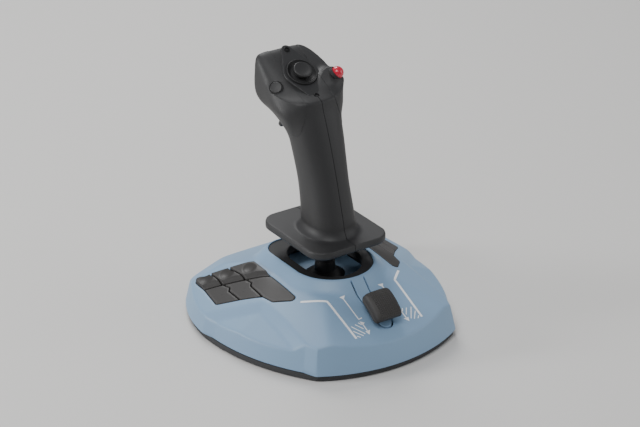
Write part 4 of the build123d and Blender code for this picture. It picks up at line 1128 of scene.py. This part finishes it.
def all_finishes(colours):
    """Every finish that the joystick uses."""
    groups = {"grain": grain_group(), "wear": wear_group()}
    return {
        "shell": finish("shell_blue", colours.shell, groups, 0.44, 0.06, 2600, 0.10, 0.03, 0.45, wear=0.12),
        "tray": finish("tray_dark", colours.tray, groups, 0.62, 0.1, 2200, 0.2, 0.1),
        "grip": finish("grip_black", colours.grip, groups, 0.52, 0.08, 3000, 0.22, 0.08, 0.5, wear=0.15),
        "soft_button": finish("soft_button", [c * 0.9 for c in colours.grip], groups, 0.46, 0.1, 3200, 0.12,
                              0.08),
        "button": finish("button_grey", colours.button, groups, 0.50, 0.1, 2600, 0.18, 0.08, wear=0.25),
        "bezel": finish("bezel_black", [c * 0.9 for c in colours.grip], groups, 0.52, 0.08, 2600, 0.15, 0.08,
                        0.35),
        "plate": finish("plate_black", [c * 1.2 for c in colours.grip], groups, 0.38, 0.08, 2600, 0.12, 0.06),
        "red": finish("button_red", colours.accent, groups, 0.22, 0.05, 1500, 0.02, 0.05, 0.5, coat=0.6),
        "pad": finish("pad_rubber", [c * 1.05 for c in colours.button], groups, 0.60, 0.08, 2400, 0.25, 0.1),
        "ink": finish("white_ink", colours.ink, groups, 0.55, 0.08, 2400, 0.05, 0.05, wear=0.0),
        "screw": finish("screw_black", [c * 0.6 for c in colours.grip], groups, 0.3, 0.1, 1800, 0.05, 0.1,
                        metallic=0.6),
        "steel": finish("steel", (0.50, 0.50, 0.51), groups, 0.30, 0.12, 900, 0.03, 0.1, metallic=1.0),
        "alloy": finish("cast_alloy", (0.46, 0.46, 0.47), groups, 0.48, 0.12, 1400, 0.3, 0.12, metallic=1.0),
        "acetal": finish("bearing_white", (0.70, 0.69, 0.64), groups, 0.42, 0.08, 1800, 0.05, 0.05),
        "inner": finish("inner_black", [c * 0.8 for c in colours.grip], groups, 0.42, 0.1, 2400, 0.1, 0.08),
        "rubber": finish("foot_rubber", (0.022, 0.022, 0.022), groups, 0.8, 0.08, 1600, 0.3, 0.1),
        "board": finish("board_green", (0.012, 0.085, 0.035), groups, 0.32, 0.1, 700, 0.1, 0.3, coat=0.3),
        "magnet": finish("magnet", (0.60, 0.60, 0.60), groups, 0.2, 0.1, 700, 0.02, 0.05, metallic=1.0),
    }


SLOT_FINISH = {
    "shell_blue": "shell", "tray_dark": "tray", "grip_black": "grip", "bezel_black": "bezel",
    "button_grey": "button", "button_red": "red", "pad_rubber": "pad", "foot_rubber": "rubber",
    "steel": "steel",
    "cast_alloy": "alloy", "inner_black": "inner", "bearing_white": "acetal", "board_green": "board",
    "magnet": "magnet",
}
FINISHES = {}


def finishes():
    """The finishes, made once."""
    if not FINISHES:
        FINISHES.update(all_finishes(bpy.context.scene.joystick_colours))
    return FINISHES


# ---------------------------------------------------------------- operators

class BuildOperator:
    """Shared run: calls the class's build functions with the scene's settings."""

    bl_options = {"REGISTER", "UNDO"}

    def execute(self, context):
        """Build the pieces, letting any error stop the script."""
        self.build(context.scene.joystick_sizes, finishes())
        return {"FINISHED"}


class JOYSTICK_OT_frame_finishes(BuildOperator, bpy.types.Operator):
    """Give every CAD part its finish"""

    bl_idname = "joystick.frame_finishes"
    bl_label = "Frame Finishes"

    def build(self, sizes, materials):
        """Put the finish of each part's material slot on its CAD object."""
        for entry in frame["record"]["subparts"]:
            made = frame["nodes"][entry["node"]]
            made.data.materials.clear()
            made.data.materials.append(materials[SLOT_FINISH[entry["material_slot"]]])


class JOYSTICK_OT_base(BuildOperator, bpy.types.Operator):
    """Build the base's shell, bezel and printed lines"""

    bl_idname = "joystick.base"
    bl_label = "Base"

    def build(self, sizes, materials):
        """Shell first, since the lines lie on it."""
        build_shell(sizes, materials)
        build_bezel(materials)
        build_print(sizes, materials)


class JOYSTICK_OT_bank_buttons(BuildOperator, bpy.types.Operator):
    """Build the two banks of buttons"""

    bl_idname = "joystick.bank_buttons"
    bl_label = "Bank Buttons"

    def build(self, sizes, materials):
        """Six caps a side."""
        build_caps(sizes, materials)


class JOYSTICK_OT_grip(BuildOperator, bpy.types.Operator):
    """Build the grip halves and the head's cheeks"""

    bl_idname = "joystick.grip"
    bl_label = "Grip"

    def build(self, sizes, materials):
        """Grip halves, then cheeks."""
        build_grip(materials)
        build_modules(materials)


class JOYSTICK_OT_head_controls(BuildOperator, bpy.types.Operator):
    """Build the hat, thumb buttons and trigger"""

    bl_idname = "joystick.head_controls"
    bl_label = "Head Controls"

    def build(self, sizes, materials):
        """Hat, round buttons and trigger."""
        build_hat(materials)
        build_head_buttons(materials)
        build_trigger(materials)


class JOYSTICK_OT_throttle(BuildOperator, bpy.types.Operator):
    """Build the throttle's thumb pad"""

    bl_idname = "joystick.throttle"
    bl_label = "Throttle"

    def build(self, sizes, materials):
        """The pad over the lever."""
        build_pad(materials)


class JOYSTICK_OT_stage(bpy.types.Operator):
    """Set the floor, the lights and the camera"""

    bl_idname = "joystick.stage"
    bl_label = "Stage"

    def execute(self, context):
        """Pale floor, soft lights, camera."""
        floor = bpy.data.meshes.new("floor")
        half = 6.0
        corners = [(-half, -half, 0), (half, -half, 0), (half, half, 0), (-half, half, 0)]
        floor.from_pydata(corners, [], [(0, 1, 2, 3)])
        made = bpy.data.objects.new("floor", floor)
        context.collection.objects.link(made)
        plain = bpy.data.materials.new("floor")
        plain.use_nodes = True
        plain.node_tree.nodes["Principled BSDF"].inputs["Base Color"].default_value = (0.72, 0.71, 0.69, 1)
        plain.node_tree.nodes["Principled BSDF"].inputs["Roughness"].default_value = 0.9
        floor.materials.append(plain)
        area_light("key", (-0.7, -0.6, 1.6), 0.8, 13.0)
        area_light("side", (-1.5, 0.7, 0.55), 0.4, 15.0)
        area_light("fill", (1.3, -1.0, 0.8), 1.2, 7.0)
        area_light("back", (0.3, 1.2, 1.5), 0.8, 20.0)
        world = bpy.data.worlds.new("world")
        world.use_nodes = True
        world.node_tree.nodes["Background"].inputs["Color"].default_value = (0.93, 0.95, 1.0, 1)
        world.node_tree.nodes["Background"].inputs["Strength"].default_value = 0.26
        context.scene.world = world
        place_camera()
        return {"FINISHED"}


def area_light(name, at, size, power):
    """A square soft light aimed at the joystick's middle."""
    light = bpy.data.lights.new(name, "AREA")
    light.size = size
    light.energy = power
    made = bpy.data.objects.new(name, light)
    made.location = at
    made.rotation_euler = (Vector((0, 0, 0.1)) - Vector(at)).to_track_quat("-Z", "Y").to_euler()
    bpy.context.collection.objects.link(made)


def place_camera():
    """The camera: turned 34 degrees to the left of straight on and 26.3 degrees down."""
    turn, down, distance = math.radians(-34.0), math.radians(26.3), 1.8644
    target = Vector((-0.00515, 0.0075, 0.0993))
    back = Vector((math.sin(turn) * math.cos(down), -math.cos(turn) * math.cos(down), math.sin(down)))
    camera = bpy.data.cameras.new("camera")
    camera.sensor_width = 36.0
    camera.lens = 123.75
    made = bpy.data.objects.new("camera", camera)
    made.location = target + back * distance
    made.rotation_euler = (math.pi / 2 - down, 0.0, turn)
    bpy.context.collection.objects.link(made)
    bpy.context.scene.camera = made


STEPS = (JOYSTICK_OT_frame_finishes, JOYSTICK_OT_base, JOYSTICK_OT_bank_buttons, JOYSTICK_OT_grip,
         JOYSTICK_OT_head_controls, JOYSTICK_OT_throttle, JOYSTICK_OT_stage)


class JOYSTICK_PT_panel(bpy.types.Panel):
    """Sidebar panel with the settings and one button for each step"""

    bl_label = "Flight Joystick"
    bl_idname = "JOYSTICK_PT_panel"
    bl_space_type = "VIEW_3D"
    bl_region_type = "UI"
    bl_category = "Joystick"

    def draw(self, context):
        """List the settings and the steps."""
        layout = self.layout
        for group in (context.scene.joystick_colours, context.scene.joystick_sizes):
            for name in group.__annotations__:
                layout.prop(group, name)
        for step in STEPS:
            layout.operator(step.bl_idname)


CLASSES = (JoystickColours, JoystickSizes, *STEPS, JOYSTICK_PT_panel)


def register():
    """Register the classes and the scene's settings."""
    for item in CLASSES:
        bpy.utils.register_class(item)
    bpy.types.Scene.joystick_colours = bpy.props.PointerProperty(type=JoystickColours)
    bpy.types.Scene.joystick_sizes = bpy.props.PointerProperty(type=JoystickSizes)


def unregister():
    """Take them out again."""
    del bpy.types.Scene.joystick_sizes
    del bpy.types.Scene.joystick_colours
    for item in reversed(CLASSES):
        bpy.utils.unregister_class(item)


def main():
    """Run every step in order."""
    register()
    for step in STEPS:
        group, name = step.bl_idname.split(".")
        getattr(getattr(bpy.ops, group), name)()


if __name__ == "__main__":
    main()
